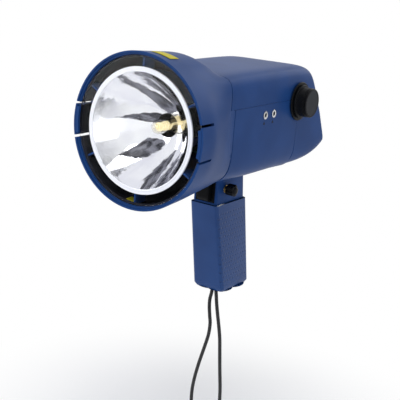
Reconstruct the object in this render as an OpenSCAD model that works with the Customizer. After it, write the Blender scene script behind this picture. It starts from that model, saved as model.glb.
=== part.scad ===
// Hand-held xenon stroboscope: reflector head, two-part casing with a tilted
// rear panel, pistol grip with trigger, and a wrist strap.
// The lens faces -Y, the rear panel faces +Y, +Z is up. The origin is the mouth
// of the tripod bush in the base of the grip. Sizes are in millimetres.
// Head pieces are drawn in the optical frame: y runs back from the front rim,
// z runs up from the optical axis.

/* [Overall] */
// Height of the optical axis above the base of the grip
axis_h = 157; // [155:1:162]
// Distance from the front rim back to the tripod bush
rim_to_bush = 150; // [148:1:152]

/* [Reflector housing] */
// Outer diameter of the front rim
rim_d = 122; // [119:1:125]
// Wall of the moulded housing and covers
wall = 2.4; // [2:0.1:2.6]
// Length of the round front of the housing, before it blends to the casing
round_len = 17; // [16:1:19]
// Taper of the housing's radius from the rim to the casing
bell_taper = 4.5; // [3:0.5:6]
// Width of the slots beside the two snap tabs
slot_w = 2; // [1.5:0.1:2.5]
// Length of the slots
slot_len = 17; // [14:1:19]
// Angle of each slot above and below the horizontal
slot_angle = 12.9; // [11:0.1:14]
// Thickness of the ribs that carry the reflector
rib_t = 1.2; // [1:0.1:1.6]
// Depth of the ribs
rib_len = 14; // [12:1:15]

/* [Lens and reflector] */
// Thickness of the clear lens
lens_t = 2; // [1.6:0.1:2.2]
// Outer diameter of the reflector's white flange
flange_ring_d = 97.8; // [96:0.2:99]
// Width of that flange
flange_ring_w = 3.9; // [3.5:0.1:4.3]
// Diameter of the lamp hole in the reflector
lamp_hole_d = 19.4; // [18.6:0.2:20]
// Depth of the reflector from its flange to the lamp hole
reflector_depth = 44; // [43:0.5:45]
// Wall of the reflector
reflector_t = 1.4; // [1.2:0.1:1.6]

/* [Lamp] */
// Outer diameter of the glass envelope
envelope_d = 11; // [10.4:0.2:12]
// Distance that the envelope stands out of the reflector's hole
envelope_out = 24; // [22:1:25]
// Outer diameter of the flash tube's coil
coil_d = 7.6; // [7:0.1:8]
// Diameter of the glass tube that is coiled
coil_tube_d = 1.8; // [1.6:0.1:1.9]
// Number of turns in the coil
coil_turns = 4; // [3:1:4]
// Rise of the coil in each turn
coil_pitch = 3.4; // [3.2:0.1:3.6]

/* [Casing] */
// Width of the casing
body_w = 92.7; // [91:0.5:95]
// Height of the top crest above the optical axis
top_h = 44.2; // [43.5:0.1:45]
// Depth of the underside below the optical axis
bottom_h = 46.5; // [46:0.5:48]
// Distance from the front rim to the lower rear corner
body_len = 229; // [228:1:231]
// Distance from the front rim to the front edge of the top cover
top_front = 60; // [59:0.5:61]
// Distance from the front rim to the front edge of the bottom cover
bottom_front = 66.5; // [65:0.5:68]
// Height of the parting line above the optical axis
part_z = 17; // [16:0.5:17.5]
// Distance from the front rim to the upright seam behind the bottom cover
rear_seam = 171; // [170:0.5:172]
// Gap at the seams between moulded shells
seam_gap = 0.25; // [0.2:0.05:0.35]

/* [Rear panel] */
// Tilt of the rear face from upright, in degrees
tilt = 27; // [25:0.5:28]
// Height of the lower rear corner below the optical axis
rear_corner_z = 26; // [25:0.5:27]
// Thickness of the rear wall
rear_wall = 5; // [4.8:0.1:5.4]
// Width of the panel overlay at its foot
panel_w = 80.6; // [79:0.2:81]
// Height of the panel overlay
panel_h = 69; // [67:0.5:70]
// Thickness of the panel overlay
overlay_t = 0.8; // [0.6:0.1:0.9]
// Width of the display opening
lcd_w = 56; // [54:0.5:57]
// Height of the display opening
lcd_h = 23.5; // [22:0.5:24]
// Width of each key
key_w = 11.2; // [10.6:0.1:11.4]
// Height of each key
key_h = 10.6; // [10:0.1:10.8]
// Spacing of the keys, both ways
key_pitch = 14; // [13.8:0.1:14.4]
// Travel of each key
key_travel = 0.35; // [0.25:0.05:0.35]

/* [Adjusting knob and jacks] */
// Distance from the front rim to the knob's axis
knob_y = 171; // [170:0.5:172]
// Height of the knob's axis above the optical axis
knob_z = 14.5; // [14:0.5:16]
// Diameter of the fixed collar behind the knob
collar_d = 33.5; // [32:0.5:35]
// Diameter of the knob's face
knob_d = 25.4; // [24:0.2:27]
// Length of the knob, from its skirt to its face
knob_len = 10.4; // [9:0.2:12]
// Diameter of the encoder's shaft
shaft_d = 6; // [5.6:0.2:6.4]
// Bore of the two jack sockets
jack_bore_d = 3.6; // [3.5:0.05:3.7]
// Distance from the front rim to the forward jack
jack_y = 114; // [112:0.5:116]
// Spacing of the two jacks
jack_pitch = 14; // [13:0.5:15]
// Height of the jacks above the optical axis
jack_z = 8; // [7:0.5:9]

/* [Handle] */
// Width of the handle's neck
neck_w = 23.6; // [23.4:0.1:24.2]
// Distance from the front rim to the neck's front face
neck_front = 106; // [105.5:0.1:106.5]
// Height of the grip
grip_h = 81.7; // [80:0.5:83]
// Width of the grip at its top
grip_top_w = 27.6; // [27:0.1:28.5]
// Width of the grip at its base
grip_base_w = 31; // [30:0.5:32]
// Distance from the front rim to the grip's front edge at its top
grip_top_front = 103.7; // [103:0.1:104.2]
// Distance from the front rim to the grip's rear edge at its top
grip_top_rear = 153; // [152.5:0.5:154]
// Distance from the front rim to the grip's front edge at its base
grip_base_front = 122.6; // [121.5:0.1:123]
// Distance from the front rim to the grip's rear edge at its base
grip_base_rear = 166.4; // [165.5:0.1:167.5]
// Wall of the grip
grip_wall = 2.2; // [2:0.1:2.3]
// Diameter of the battery cells
cell_d = 17; // [16.4:0.2:17]
// Length of each battery cell
cell_len = 28.5; // [27.5:0.5:29]

/* [Trigger and its lock] */
// Width of the trigger
trigger_w = 11.2; // [10.4:0.2:11.4]
// Travel of the trigger
trigger_travel = 3.5; // [2.5:0.1:3.5]
// Distance that the trigger stands out of the neck
trigger_out = 5; // [4:0.5:6]
// Diameter of the thumb knob that locks the trigger
lock_knob_d = 10.8; // [10:0.2:12]
// Diameter of the lock's screw
lock_stud_d = 4; // [3.8:0.1:4.2]
// Distance that the lock's screw advances
lock_travel = 1.2; // [0.8:0.1:1.2]

/* [Base] */
// Bore of the tripod bush
tripod_bore_d = 5.2; // [5.1:0.05:5.4]
// Outer diameter of the tripod bush
bush_d = 10; // [9.6:0.2:10.4]
// Length of the tripod bush
bush_len = 10; // [9:0.5:11]
// Diameter of the wrist strap's cord
strap_d = 3.2; // [3:0.1:3.4]

/* [Hidden] */

// --- shared clearances ---
eps = 0.01;
fit_gap = 0.2;        // between fixed pieces that sit against each other
run_gap = 0.3;        // between pieces that slide past each other
bore_gap = 0.04;      // radial gap of a shaft in its bore
round_fn = 64;

// --- colours ---
blue = "#26447a";
black = "#17181a";
steel = "#b9bcc0";
brass = "#c9a75a";
yellow = "#d8c820";

// --- placement frames ---
module head() translate([0, -rim_to_bush, axis_h]) children();
module along_y(y = 0) translate([0, y, 0]) rotate([-90, 0, 0]) children();
module along_x(x = 0, y = 0, z = 0) translate([x, y, z]) rotate([90, 0, 90]) children();
// Rear panel frame: x to the operator's right, y up the panel, z outward
module on_panel()
  head() translate([0, body_len, -rear_corner_z]) rotate([tilt - 90, 0, 0]) rotate([0, 0, 180])
    children();

// --- round, square and ring helpers ---
module ring(r_out, r_in, h)
  difference() {
    cylinder(r = r_out, h = h, $fn = round_fn);
    translate([0, 0, -1]) cylinder(r = r_in, h = h + 2, $fn = round_fn);
  }
module rounded_rect(w, h, r) {
  for (sx = [-1, 1], sy = [-1, 1])
    translate([sx * (w / 2 - r), sy * (h / 2 - r)]) circle(r = r, $fn = 24);
  square([w - 2 * r, h], center = true);
  square([w, h - 2 * r], center = true);
}
module centred_box(x, y, z, size)
  translate([x - size[0] / 2, y - size[1] / 2, z - size[2] / 2]) cube(size);

// --- loft helpers: a closed skin through rings of equal length ---
function flat1(list) = [for (part = list) each part];
function mix(a, b, f) = a + (b - a) * f;
function clamp01(f) = max(0, min(1, f));
function smooth(f) = let (g = clamp01(f)) g * g * (3 - 2 * g);
// Rings run clockwise seen from -Y, in order along the skin. A closed skin joins
// its last ring to its first; otherwise both ends are capped.
module loft(rings, closed = false) {
  n = len(rings[0]);
  m = len(rings);
  steps = closed ? m : m - 1;
  sides = [for (i = [0:steps - 1], j = [0:n - 1])
    let (a = i * n, b = ((i + 1) % m) * n, k = (j + 1) % n)
    each [[a + j, b + j, b + k], [a + j, b + k, a + k]]];
  caps = closed ? [] : [[for (j = [0:n - 1]) j], [for (j = [n - 1:-1:0]) (m - 1) * n + j]];
  polyhedron(points = flat1(rings), faces = concat(sides, caps), convexity = 8);
}

// --- casing section: a superellipse, flatter above than below ---
top_power = 8;
bottom_power = 5;
top_front_drop = 0.9;    // the crest is this much lower at the front seam
bottom_front_rise = 1;   // and the underside this much higher
bottom_front_power = 0.8; // the underside is this much rounder at the front seam
belly = 0.8;             // the underside falls by this from the handle to the rear seam
belly_start = 150;
rear_start = 150;        // the rear end's shaping starts here
top_rear_drop = 2.1;     // fall of the crest along the rear end
chin_step = 0.6;         // the rear section's underside lies this much above the front's
chin_drop = 2.7;         // crown of the rear face's lower edge
rear_taper = 0.06;       // the rear face is this much narrower at its top
rear_power_gain = 9;     // the lower rear corners grow sharper by this power
rear_rise = bottom_h - chin_step - rear_corner_z - chin_drop;
function rear_part(y) = clamp01((y - rear_start) / (body_len - rear_start));
function front_part(y) = 1 - clamp01((y - top_front) / 60);
function crest(y) = top_h - top_front_drop * pow(front_part(y), 2)
  - top_rear_drop * pow(rear_part(y), 3);
function belly_part(y) = clamp01((y - belly_start) / (rear_seam - belly_start));
function keel(y, chin) = bottom_h - bottom_front_rise * pow(front_part(y), 2)
  - (chin ? chin_step + rear_rise * pow(rear_part(y), 3) : -belly * belly_part(y));
function keel_power(y, chin) = bottom_power - bottom_front_power * pow(front_part(y), 2)
  + (chin ? rear_power_gain * pow(rear_part(y), 2) : 0);
function section_r(th, y, chin) =
  let (c = abs(cos(th)), s = sin(th), a = body_w / 2,
       b = s >= 0 ? crest(y) : keel(y, chin), n = s >= 0 ? top_power : keel_power(y, chin))
  1 / pow(pow(c / a, n) + pow(abs(s) / b, n), 1 / n);
// Angles round the section, with a close pair at each parting-line corner
step_angle = atan2(part_z, body_w / 2);
section_steps = 88;
corner_pull = 9;         // draws the angles towards the section's corners
pair_angle = 0.3;
even_angles = [for (i = [0:section_steps - 1])
  let (t = 360 * i / section_steps) t + corner_pull * sin(4 * t)];
low_start = 180 - step_angle + pair_angle;
low_end = 360 + step_angle - pair_angle;
angles = concat(
  [step_angle], [for (t = even_angles) if (t > step_angle + 1 && t < 179 - step_angle) t],
  [180 - step_angle, low_start], [for (t = even_angles) if (t > low_start + 1) t],
  [for (t = even_angles) if (t + 360 < low_end - 1) t + 360], [low_end]);
// A point of the casing's skin, inset towards the axis; y leans with the rear face
function lean(y) = tan(tilt) * pow(rear_part(y), 2);
function casing_point(th, y, inset, chin, dy = 0) =
  let (r = section_r(th, y, chin) - inset, z = r * sin(th),
       narrow = 1 - rear_taper * rear_part(y) * clamp01(z / top_h))
  [r * cos(th) * narrow, y - lean(y) * (z + rear_corner_z) + dy, z];
function casing_ring(y, inset, chin, dy = 0) = [for (th = angles) casing_point(th, y, inset, chin, dy)];
rear_steps = [0, 12, 24, 35, 45, 54, 62, 69, 74, 77.4] / 79;   // shares of the rear end
stations = concat([72, 84, 106], [for (f = rear_steps) mix(rear_start, body_len, f)]);
rear_wall_y = rear_wall / cos(tilt);

module casing(front, chin) {
  outer = concat([body_len], [for (i = [len(stations) - 1:-1:0]) stations[i]], [front]);
  loft(concat(
    [for (y = outer) casing_ring(y, 0, chin)],
    [casing_ring(front, wall, chin)],
    [for (y = stations) if (y < body_len - 10.5) casing_ring(y, wall, chin)],
    [casing_ring(body_len, wall, chin, -rear_wall_y)]));
}

// --- casing screws ---
screw_d = 3;
boss_d = 9;
head_d = 5.6;
boss_in = 13.35;         // the bosses stand this far in from the casing's side
boss_x = body_w / 2 - boss_in;
boss_ys = [bottom_front + 13.5, rear_seam - 13];
web_z = 8;               // the screw heads bear here, below the parting line
pilot_len = 12;
boss_foot = 41.2;        // the bosses reach into the floor
post_top = 41.5;         // the posts reach into the roof
web_x = body_w / 2 - 1.35;  // webs tie the bosses and posts to the side walls
web_t = 2;
web_in = 3;
web_foot = -24;
web_top = 34;
module boss_webs(z0, z1)
  for (side = [0, 1], y = boss_ys)
    mirror([side, 0, 0]) translate([boss_x + web_in, y - web_t / 2, z0])
      cube([web_x - boss_x - web_in, web_t, z1 - z0]);
module at_bosses()
  for (x = [-boss_x, boss_x], y = boss_ys) translate([x, y, 0]) children();

// --- rear panel outline, in the panel frame ---
panel_foot = 2;
panel_taper = 2.8;       // the overlay is this much narrower on each side at its top
panel_arch = 2.4;
module panel_outline(grow) {
  w = panel_w / 2 + grow;
  y0 = panel_foot - grow;
  y1 = panel_foot + panel_h + grow;
  steps = 10;
  wt = w - panel_taper;
  top_r = 6.4;
  foot_r = 4.4;
  top = [for (i = [0:steps]) let (u = 1 - 2 * i / steps) [u * (wt - 6), y1 - panel_arch * u * u]];
  foot = [for (i = [0:steps]) let (u = -1 + 2 * i / steps) [u * (w - 5), y0 + panel_arch * u * u]];
  side_r = [[w, y0 + panel_arch + 4.5], [wt, y1 - panel_arch - 7]];
  corner = [for (i = [1:5])
    let (a = 15 * i) [wt - top_r + top_r * cos(a), y1 - panel_arch - 6.7 + 6.6 * sin(a)]];
  low = [for (i = [1:3]) let (a = -90 + 22 * i)
    [w - foot_r - 0.2 + foot_r * cos(a), y0 + panel_arch + foot_r + (foot_r - 0.1) * sin(a)]];
  right = concat(low, side_r, corner);
  left = [for (i = [len(right) - 1:-1:0]) [-right[i][0], right[i][1]]];
  polygon(concat(foot, right, top, left));
}

// --- display and keys, in the panel frame ---
lcd_x = -1.2;
lcd_y = 49;
pane_margin = 1.5;
window_t = 1;
pane_back = 2.7;          // the window's face lies this far behind the bezel
key_cols = [-2 * key_pitch, -key_pitch, 0];
key_rows = [26.5, 26.5 - key_pitch];
function key_x(k) = key_cols[(k - 1) % 3];
function key_y(k) = key_rows[floor((k - 1) / 3)];
key_proud = 0.2;
dome_h = 0.3;
board_t = 1.5;
overlay_sink = 1;         // depth of the recess that holds the overlay
board_face = -rear_wall - 0.1;

// --- handle frame: drawn from a side outline ---
grip_top = -axis_h + grip_h;
neck_top = -bottom_h - 0.02;
neck_rear_top = 146.8;
neck_rear_foot = 151;
neck_wall = 2.2;
tenon_len = 7.2;
front_rake = (grip_base_front - grip_top_front) / grip_h;
rear_rake = (grip_base_rear - grip_top_rear) / grip_h;
module side_slab(points, w)
  translate([-w / 2, 0, 0]) rotate([90, 0, 90]) linear_extrude(w) polygon(points);

// --- trigger and lock places, in the optical frame ---
trigger_top = -53.6;
trigger_foot = -72;
trigger_front = neck_front - trigger_out;
trigger_len = 24;
trigger_back = trigger_front + trigger_len;
spring_z = -67.5;
spring_d = 4.4;
spring_wire = 0.7;
spring_turns = 6;
pocket_d = 5.2;
pocket_len = 8;
spring_seat = trigger_back + trigger_travel + 2.2;
switch_tip = trigger_back + trigger_travel + 0.2;
lock_y = 119.3;
lock_z = -62.4;
lock_bush_d = 6.8;
lock_tip = trigger_w / 2 + lock_travel + 0.3;
lock_knob_back = neck_w / 2 + lock_travel + 0.9;
lock_knob_len = 7.4;

// --- board in the lower casing ---
board_w = 56;
board_len = 76;
board_y = 84;
board_z = -27;
standoff_d = 6;
standoff_foot = 44.4;    // the standoffs reach into the floor
board_holes = [for (x = [-24.5, 24.5], y = [board_y + 6, board_y + board_len - 6]) [x, y]];

// --- base of the grip ---
base_z = -axis_h;
floor_t = 5;
strap_y = 134;
anchor_w = 10;
anchor_d = 5.6;
anchor_rise = 1;
// Centre line of the strap, in the part's own frame: out of the anchor on the
// operator's right, down round the hand loop and up again
strap_route = [
  [-1.9, -16, 1], [-1.9, -16, -3], [-2.5, -16, -8], [-3.6, -16, -14], [-3.5, -16, -21], [-2.4, -16, -29],
  [-1.2, -16, -37], [-2, -16, -48], [-5.4, -16, -62], [-9.6, -16, -78], [-13, -16, -94], [-14.6, -16, -108],
  [-14, -16, -121], [-10.8, -16, -131], [-5.6, -16, -137.6], [0, -16, -139.6], [5.6, -16, -137.6],
  [10.8, -16, -131], [14.2, -16, -121], [15.6, -16, -108], [15, -16, -94], [13.2, -16, -78],
  [11.6, -16, -62], [10.2, -16, -48], [8.2, -16, -37], [5.8, -16, -26], [4, -16, -17], [2.9, -16, -10],
  [2, -16, -4], [2, -16, 1]];

// =================== reflector housing ===================
lip_w = 1.4;
lip_h = 1.2;
lens_seat = 4.4;
seat_in = 4.6;
sleeve_len = 5;
sleeve_t = 1.6;
// Near the casing's level the round front draws in gently; above, it keeps its
// shape back to the shoulder and falls to the casing in a quarter of an ellipse.
shoulder_y = 42;
shape_low = -45;         // below this angle the falls end at the lower seam,
shape_high = 10;         // and above this one at the upper seam
function shape_end(th) = mix(bottom_front, top_front,
  smooth((asin(sin(th)) - shape_low) / (shape_high - shape_low))) - seam_gap;
function shoulder_part(th, y) = clamp01((y - shoulder_y) / (shape_end(th) - shoulder_y));
function shoulder_fall(th, y) = 1 - sqrt(1 - pow(shoulder_part(th, y), 2));
function gentle_fall(th, y) = pow(clamp01((y - round_len) / (shape_end(th) - round_len)), 1.5);
function gentle_share(th) = sin(th) > 0
  ? 1 - smooth((abs(asin(sin(th))) - 46) / 16)
  : 0.35 + 0.65 * pow(cos(th), 4);
function bell_r(th, y) =
  let (cone = rim_d / 2 - bell_taper * clamp01(y / bottom_front),
       side = section_r(th, top_front, false),
       f = mix(shoulder_fall(th, y), gentle_fall(th, y), gentle_share(th)))
  mix(cone, side, f);
function bell_point(th, y, inset) = let (r = bell_r(th, y) - inset) [r * cos(th), y, r * sin(th)];
function bell_ring(y, inset) = [for (th = angles) bell_point(th, y, inset)];
// The seam steps back below the parting line
function seam_y(th) = (sin(th) > 0 && th >= step_angle - eps && th <= 180 - step_angle + eps
  ? top_front : bottom_front) - seam_gap;
function seam_ring(back, inset) = [for (th = angles)
  let (r = section_r(th, top_front, false) - inset) [r * cos(th), seam_y(th) + back, r * sin(th)]];
bell_steps = [4, round_len, 25, 34, shoulder_y];
shoulder_steps = [0.3, 0.5, 0.67, 0.8, 0.9, 0.97];
function shoulder_ring(f, inset) =
  [for (th = angles) bell_point(th, mix(shoulder_y, shape_end(th), f), inset)];
module reflector_housing()
  color(blue) head() {
    slot_r = rim_d / 2 - 3;
    difference() {
      loft(concat(
        [bell_ring(0, lip_w), bell_ring(lip_h, lip_w), bell_ring(lip_h, 2 * lip_w)],
        [bell_ring(lens_seat, 2 * lip_w), bell_ring(lens_seat, seat_in)],
        [bell_ring(lens_seat + 1.2, seat_in), bell_ring(lens_seat + 2.2, 2 * lip_w)],
        [for (i = [1:len(bell_steps) - 1]) bell_ring(bell_steps[i], wall)],
        [shoulder_ring(0.5, wall + 0.6), shoulder_ring(0.8, wall + 1.2)],
        [seam_ring(sleeve_len, wall + fit_gap + sleeve_t)],
        [seam_ring(sleeve_len, wall + fit_gap), seam_ring(0, wall + fit_gap), seam_ring(0, 0)],
        [for (i = [len(shoulder_steps) - 1:-1:0]) shoulder_ring(shoulder_steps[i], 0)],
        [for (i = [len(bell_steps) - 1:-1:0]) bell_ring(bell_steps[i], 0)],
        [bell_ring(0, 0)]), closed = true);
      for (side = [0, 180], a = [-slot_angle, slot_angle])
        rotate([0, -side - a, 0]) translate([slot_r - 4, -1, -slot_w / 2]) cube([14, slot_len + 1, slot_w]);
    }
    // hooks of the two snap tabs, in front of the lens
    for (side = [0, 180]) rotate([0, -side, 0]) tab_hook();
    for (k = [0:5]) rotate([0, -30 - 60 * k, 0]) rib();
  }
tab_half = rim_d / 2 * sin(slot_angle) - slot_w;
module tab_hook()
  intersection() {
    rotate([-90, 0, 0]) ring(rim_d / 2 - lip_w / 2, rim_d / 2 - 4.4, 2);
    translate([rim_d / 2 - 8, -1, -tab_half]) cube([9, 5, 2 * tab_half]);
  }
// A rib carries the flange on a ledge, so its outline is an L
rib_root = rim_d / 2 - wall;
rib_gap = 0.02;
rib_seat = flange_ring_d / 2 + fit_gap;
rib_ledge = flange_ring_d / 2 - flange_ring_w + 2.2;
flange_y = lens_seat + 0.2;
module rib()
  translate([0, 0, -rib_t / 2]) linear_extrude(rib_t)
    polygon([
      [rib_root, flange_y + 0.6], [rib_seat, flange_y + 0.6], [rib_seat, flange_y + reflector_t + rib_gap],
      [rib_ledge, flange_y + reflector_t + rib_gap], [rib_ledge, flange_y + rib_len],
      [rib_root, flange_y + rib_len]]);

// =================== lens, reflector and lamp ===================
lens_y = 2.3;
lens_gap = 0.4;          // the seat narrows with the housing's taper
module front_lens()
  color("lightcyan", 0.4) head() along_y(lens_y)
    cylinder(r = rim_d / 2 - 2 * lip_w - lens_gap, h = lens_t, $fn = 96);

mouth_r = flange_ring_d / 2 - flange_ring_w;
hole_r = lamp_hole_d / 2;
four_f = (mouth_r * mouth_r - hole_r * hole_r) / reflector_depth;
apex = flange_y + mouth_r * mouth_r / four_f;
reflector_steps = 14;
neck_len = 7;
// Bowl: radius squared grows in proportion to the distance from the apex
function bowl(grow) = [for (i = [0:reflector_steps])
  let (r = mix(mouth_r, hole_r, i / reflector_steps)) [r + grow, apex - r * r / four_f]];
module reflector()
  color("white") head() rotate([-90, 0, 0]) rotate_extrude($fn = 96) {
    inner = bowl(0);
    outer = bowl(reflector_t);
    last = inner[reflector_steps][1];
    polygon(concat(inner,
      [[hole_r, last + neck_len], [hole_r + reflector_t, last + neck_len]],
      [for (i = [reflector_steps:-1:1]) [outer[i][0], outer[i][1] + 0.3]],
      [[mouth_r + reflector_t, flange_y + reflector_t], [flange_ring_d / 2, flange_y + reflector_t],
       [flange_ring_d / 2, flange_y]]));
  }

hole_y = flange_y + reflector_depth;
envelope_len = 34;
envelope_y = hole_y - envelope_out;
envelope_t = 0.9;
module lamp_envelope()
  color("white", 0.3) head() rotate([-90, 0, 0]) {
    r = envelope_d / 2;
    ri = r - envelope_t;
    rotate_extrude($fn = 48)
      polygon(concat(
        [for (i = [0:8]) let (a = 90 * i / 8) [r * sin(a), envelope_y + r - r * cos(a)]],
        [[r, envelope_y + envelope_len], [ri, envelope_y + envelope_len]],
        [for (i = [8:-1:0]) let (a = 90 * i / 8) [ri * sin(a), envelope_y + r - ri * cos(a)]]));
  }

// Tubes are swept along a path; the side vector of each ring is the one before
// it, made square to the path again, so the tube never twists
function sub(a, b) = [a[0] - b[0], a[1] - b[1], a[2] - b[2]];
function unit(v) = v / norm(v);
function tangent(path, i) = unit(sub(path[min(i + 1, len(path) - 1)], path[max(i - 1, 0)]));
function across(v, t) = unit(v - (v * t) * t);
function tube_sides(path) = let (last = len(path) - 1)
  [for (i = 0, a = across([1, 0, 0], tangent(path, 0)); i <= last;
    i = i + 1, a = across(a, tangent(path, min(i, last)))) a];
function tube_ring(p, t, r, a, n) = let (b = cross(a, t))
  [for (k = [0:n - 1]) p + r * (cos(360 * k / n) * a - sin(360 * k / n) * b)];
module tube(path, r, n) {
  sides = tube_sides(path);
  loft([for (i = [0:len(path) - 1]) tube_ring(path[i], tangent(path, i), r, sides[i], n)]);
}
// The flash tube runs up the axis from the lamp base, turns over and winds back
// as a helix; both its ends meet the base
coil_r = (coil_d - coil_tube_d) / 2;
coil_steps = 24;
coil_start = envelope_y + 5;
coil_count = coil_turns * coil_steps;
coil_end = coil_start + coil_turns * coil_pitch;
lamp_base_y = envelope_y + envelope_len;
function coil_point(i) = let (a = 360 * i / coil_steps)
  [coil_r * cos(a), coil_start + coil_pitch * i / coil_steps, coil_r * sin(a)];
coil_path = concat(
  [[0, lamp_base_y, 0], [0, coil_end, 0], [0, coil_start + 1, 0], [0.1, coil_start - 0.5, -0.2]],
  [[0.6, coil_start - 1.4, -0.9], [1.5, coil_start - 1.4, -1.4], [2.4, coil_start - 0.7, -1.2]],
  [for (i = [0:coil_count]) coil_point(i)],
  [[coil_r, coil_end + 0.9, 0.8], [coil_r, coil_end + 2, 1.3], [coil_r, coil_end + 4, 1.4]],
  [[coil_r, lamp_base_y, 1.4]]);
coil_gap = coil_pitch - coil_tube_d;
echo(str("least gap between the flash tube's turns: ", coil_gap, " mm"));
module flash_tube()
  color("lightyellow") head() tube(coil_path, coil_tube_d / 2, 6);

lamp_base_len = 12;
pin_r = 1;
pin_circle = 4.6;
module at_pins() for (k = [0:2]) rotate([0, 120 * k + 30, 0]) translate([pin_circle, 0, 0]) children();
module lamp_base()
  color("ivory") head() difference() {
    union() {
      along_y(lamp_base_y) cylinder(r = hole_r - run_gap, h = lamp_base_len, $fn = 48);
      along_y(lamp_base_y - 3) ring(envelope_d / 2 + 1.6, envelope_d / 2 + fit_gap, 3 + eps);
    }
    at_pins() along_y(lamp_base_y + 3) cylinder(r = pin_r, h = lamp_base_len, $fn = 24);
  }
module lamp_pins()
  color(steel) head() at_pins() along_y(lamp_base_y + 3)
    cylinder(r = pin_r, h = lamp_base_len + 5, $fn = 24);
socket_y = lamp_base_y + lamp_base_len;
socket_len = 12;
socket_skirt = 20;       // the socket's skirt is pressed over the reflector's neck
module lamp_socket()
  color(black) head() difference() {
    union() {
      along_y(socket_y) cylinder(r = 14, h = socket_len, $fn = 48);
      along_y(socket_y - socket_skirt) ring(14, hole_r + reflector_t + 0.02, socket_skirt + eps);
    }
    at_pins() along_y(socket_y - 1) cylinder(r = pin_r + 0.03, h = 9.2, $fn = 24);
  }

// =================== covers ===================
knob_hole_d = 9.4;
module knob_hole() along_x(body_w / 2 - 12, knob_y, knob_z) cylinder(d = knob_hole_d, h = 16, $fn = 48);
lower_front = [[-70, bottom_front - 20, -90], [140, rear_seam - bottom_front + 20, 90 + part_z]];
chin_x = 12;
chin_y = body_len - 15;
chin_z = -rear_corner_z - 8;
chin_turn = 150;     // the charging socket points down and back
module at_chin() head() translate([chin_x, chin_y, chin_z]) rotate([-chin_turn, 0, 0]) children();
charge_hole_d = 8.4;
module top_cover()
  color(blue) {
    difference() {
      head() difference() {
        union() {
          casing(top_front, true);
          at_bosses() translate([0, 0, part_z]) cylinder(d = boss_d, h = post_top - part_z, $fn = 32);
          boss_webs(part_z, web_top);
        }
        translate(lower_front[0]) cube(lower_front[1]);
        knob_hole();
        at_bosses() translate([0, 0, part_z - 1]) cylinder(d = screw_d - 0.5, h = pilot_len + 1, $fn = 24);
      }
      on_panel() {
        translate([0, 0, -overlay_sink]) linear_extrude(overlay_sink + 3) panel_outline(0.2);
        translate([lcd_x, lcd_y, -rear_wall - 2]) linear_extrude(rear_wall + 4)
          square([lcd_w, lcd_h], center = true);
        translate([lcd_x, lcd_y, -rear_wall - 2]) linear_extrude(rear_wall + 2 - pane_back)
          square([lcd_w + 2 * pane_margin + 0.4, lcd_h + 2 * pane_margin + 0.4], center = true);
        for (k = [1:6])
          translate([key_x(k), key_y(k), -rear_wall - 2]) linear_extrude(rear_wall + 4)
            square([key_w + 2 * run_gap, key_h + 2 * run_gap], center = true);
      }
      at_chin() translate([0, 0, -20]) cylinder(d = charge_hole_d, h = 40, $fn = 48);
    }
  }
module bottom_cover()
  color(blue) head() difference() {
    union() {
      intersection() {
        casing(bottom_front, false);
        translate([-70, bottom_front, -90])
          cube([140, rear_seam - bottom_front - seam_gap, 90 + part_z - seam_gap]);
      }
      boss_webs(web_foot, part_z - seam_gap);
      at_bosses() translate([0, 0, -boss_foot])
        cylinder(d = boss_d, h = boss_foot + part_z - seam_gap, $fn = 32);
      for (p = board_holes) translate([p[0], p[1], -standoff_foot])
        cylinder(d = standoff_d, h = standoff_foot + board_z - board_t / 2 - 0.02, $fn = 32);
    }
    knob_hole();
    at_bosses() {
      translate([0, 0, -90]) cylinder(d = head_d + 0.8, h = 90 + web_z, $fn = 32);
      translate([0, 0, web_z - 1]) cylinder(d = screw_d + 0.4, h = 20, $fn = 24);
    }
    for (p = board_holes) translate([p[0], p[1], board_z - 9]) cylinder(d = 2, h = 12, $fn = 24);
    for (k = [0, 1]) {
      along_x(body_w / 2 - 6, jack_y + k * jack_pitch, jack_z)
        cylinder(r = jack_r + 0.05, h = 12, $fn = 48);
      mark(k);
    }
    neck_holes() cylinder(d = 3.4, h = 16, $fn = 24);
    translate([0, 128, -60]) cylinder(d = 12, h = 30, $fn = 32);
  }
// small moulded arrow under each jack, one pointing in and one out
mark_drop = 6.8;
mark_r = 1.9;
module mark(k)
  along_x(body_w / 2 - 0.5, jack_y - 1 + k * jack_pitch, jack_z - mark_drop)
    rotate([0, 0, k == 0 ? 90 : -90]) cylinder(r = mark_r, h = 4, $fn = 3);

module cover_screws()
  color(steel) head() at_bosses() {
    translate([0, 0, web_z - 0.1])
      cylinder(d = screw_d - 0.6, h = part_z - web_z + pilot_len - 2, $fn = 24);
    difference() {
      translate([0, 0, web_z - 2.2]) cylinder(d = head_d, h = 2.19, $fn = 32);
      translate([0, 0, web_z - 3]) cylinder(d = 2.6, h = 2, $fn = 6);
    }
  }

// =================== adjusting knob ===================
side_x = body_w / 2;
collar_t = 1.95;
collar_plate = 0.9;
collar_foot_d = 24;
bushing_d = 9;
module knob_axis(x) along_x(x, knob_y, knob_z) children();
module knob_collar()
  color(black) head() knob_axis(side_x + 0.1) {
    translate([0, 0, collar_t - collar_plate]) ring(collar_d / 2, bushing_d / 2 + fit_gap, collar_plate);
    ring(collar_foot_d / 2, bushing_d / 2 + fit_gap, collar_t - collar_plate + eps);
  }
module encoder_body()
  color("dimgray") head() difference() {
    union() {
      centred_box(side_x - wall - 4.4, knob_y, knob_z, [6.4, 13, 13]);
      knob_axis(side_x - wall - 2) cylinder(d = bushing_d, h = wall + 2 + collar_t + 0.6, $fn = 48);
      for (dy = [-4, 0, 4])
        centred_box(side_x - wall - 8.5, knob_y + dy, knob_z - 5.5, [2.4, 0.8, 0.8]);
    }
    knob_axis(side_x - wall - 5) cylinder(r = shaft_d / 2 + bore_gap, h = 20, $fn = 48);
  }
knob_x = side_x + 0.1 + collar_t + 0.5;
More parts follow.
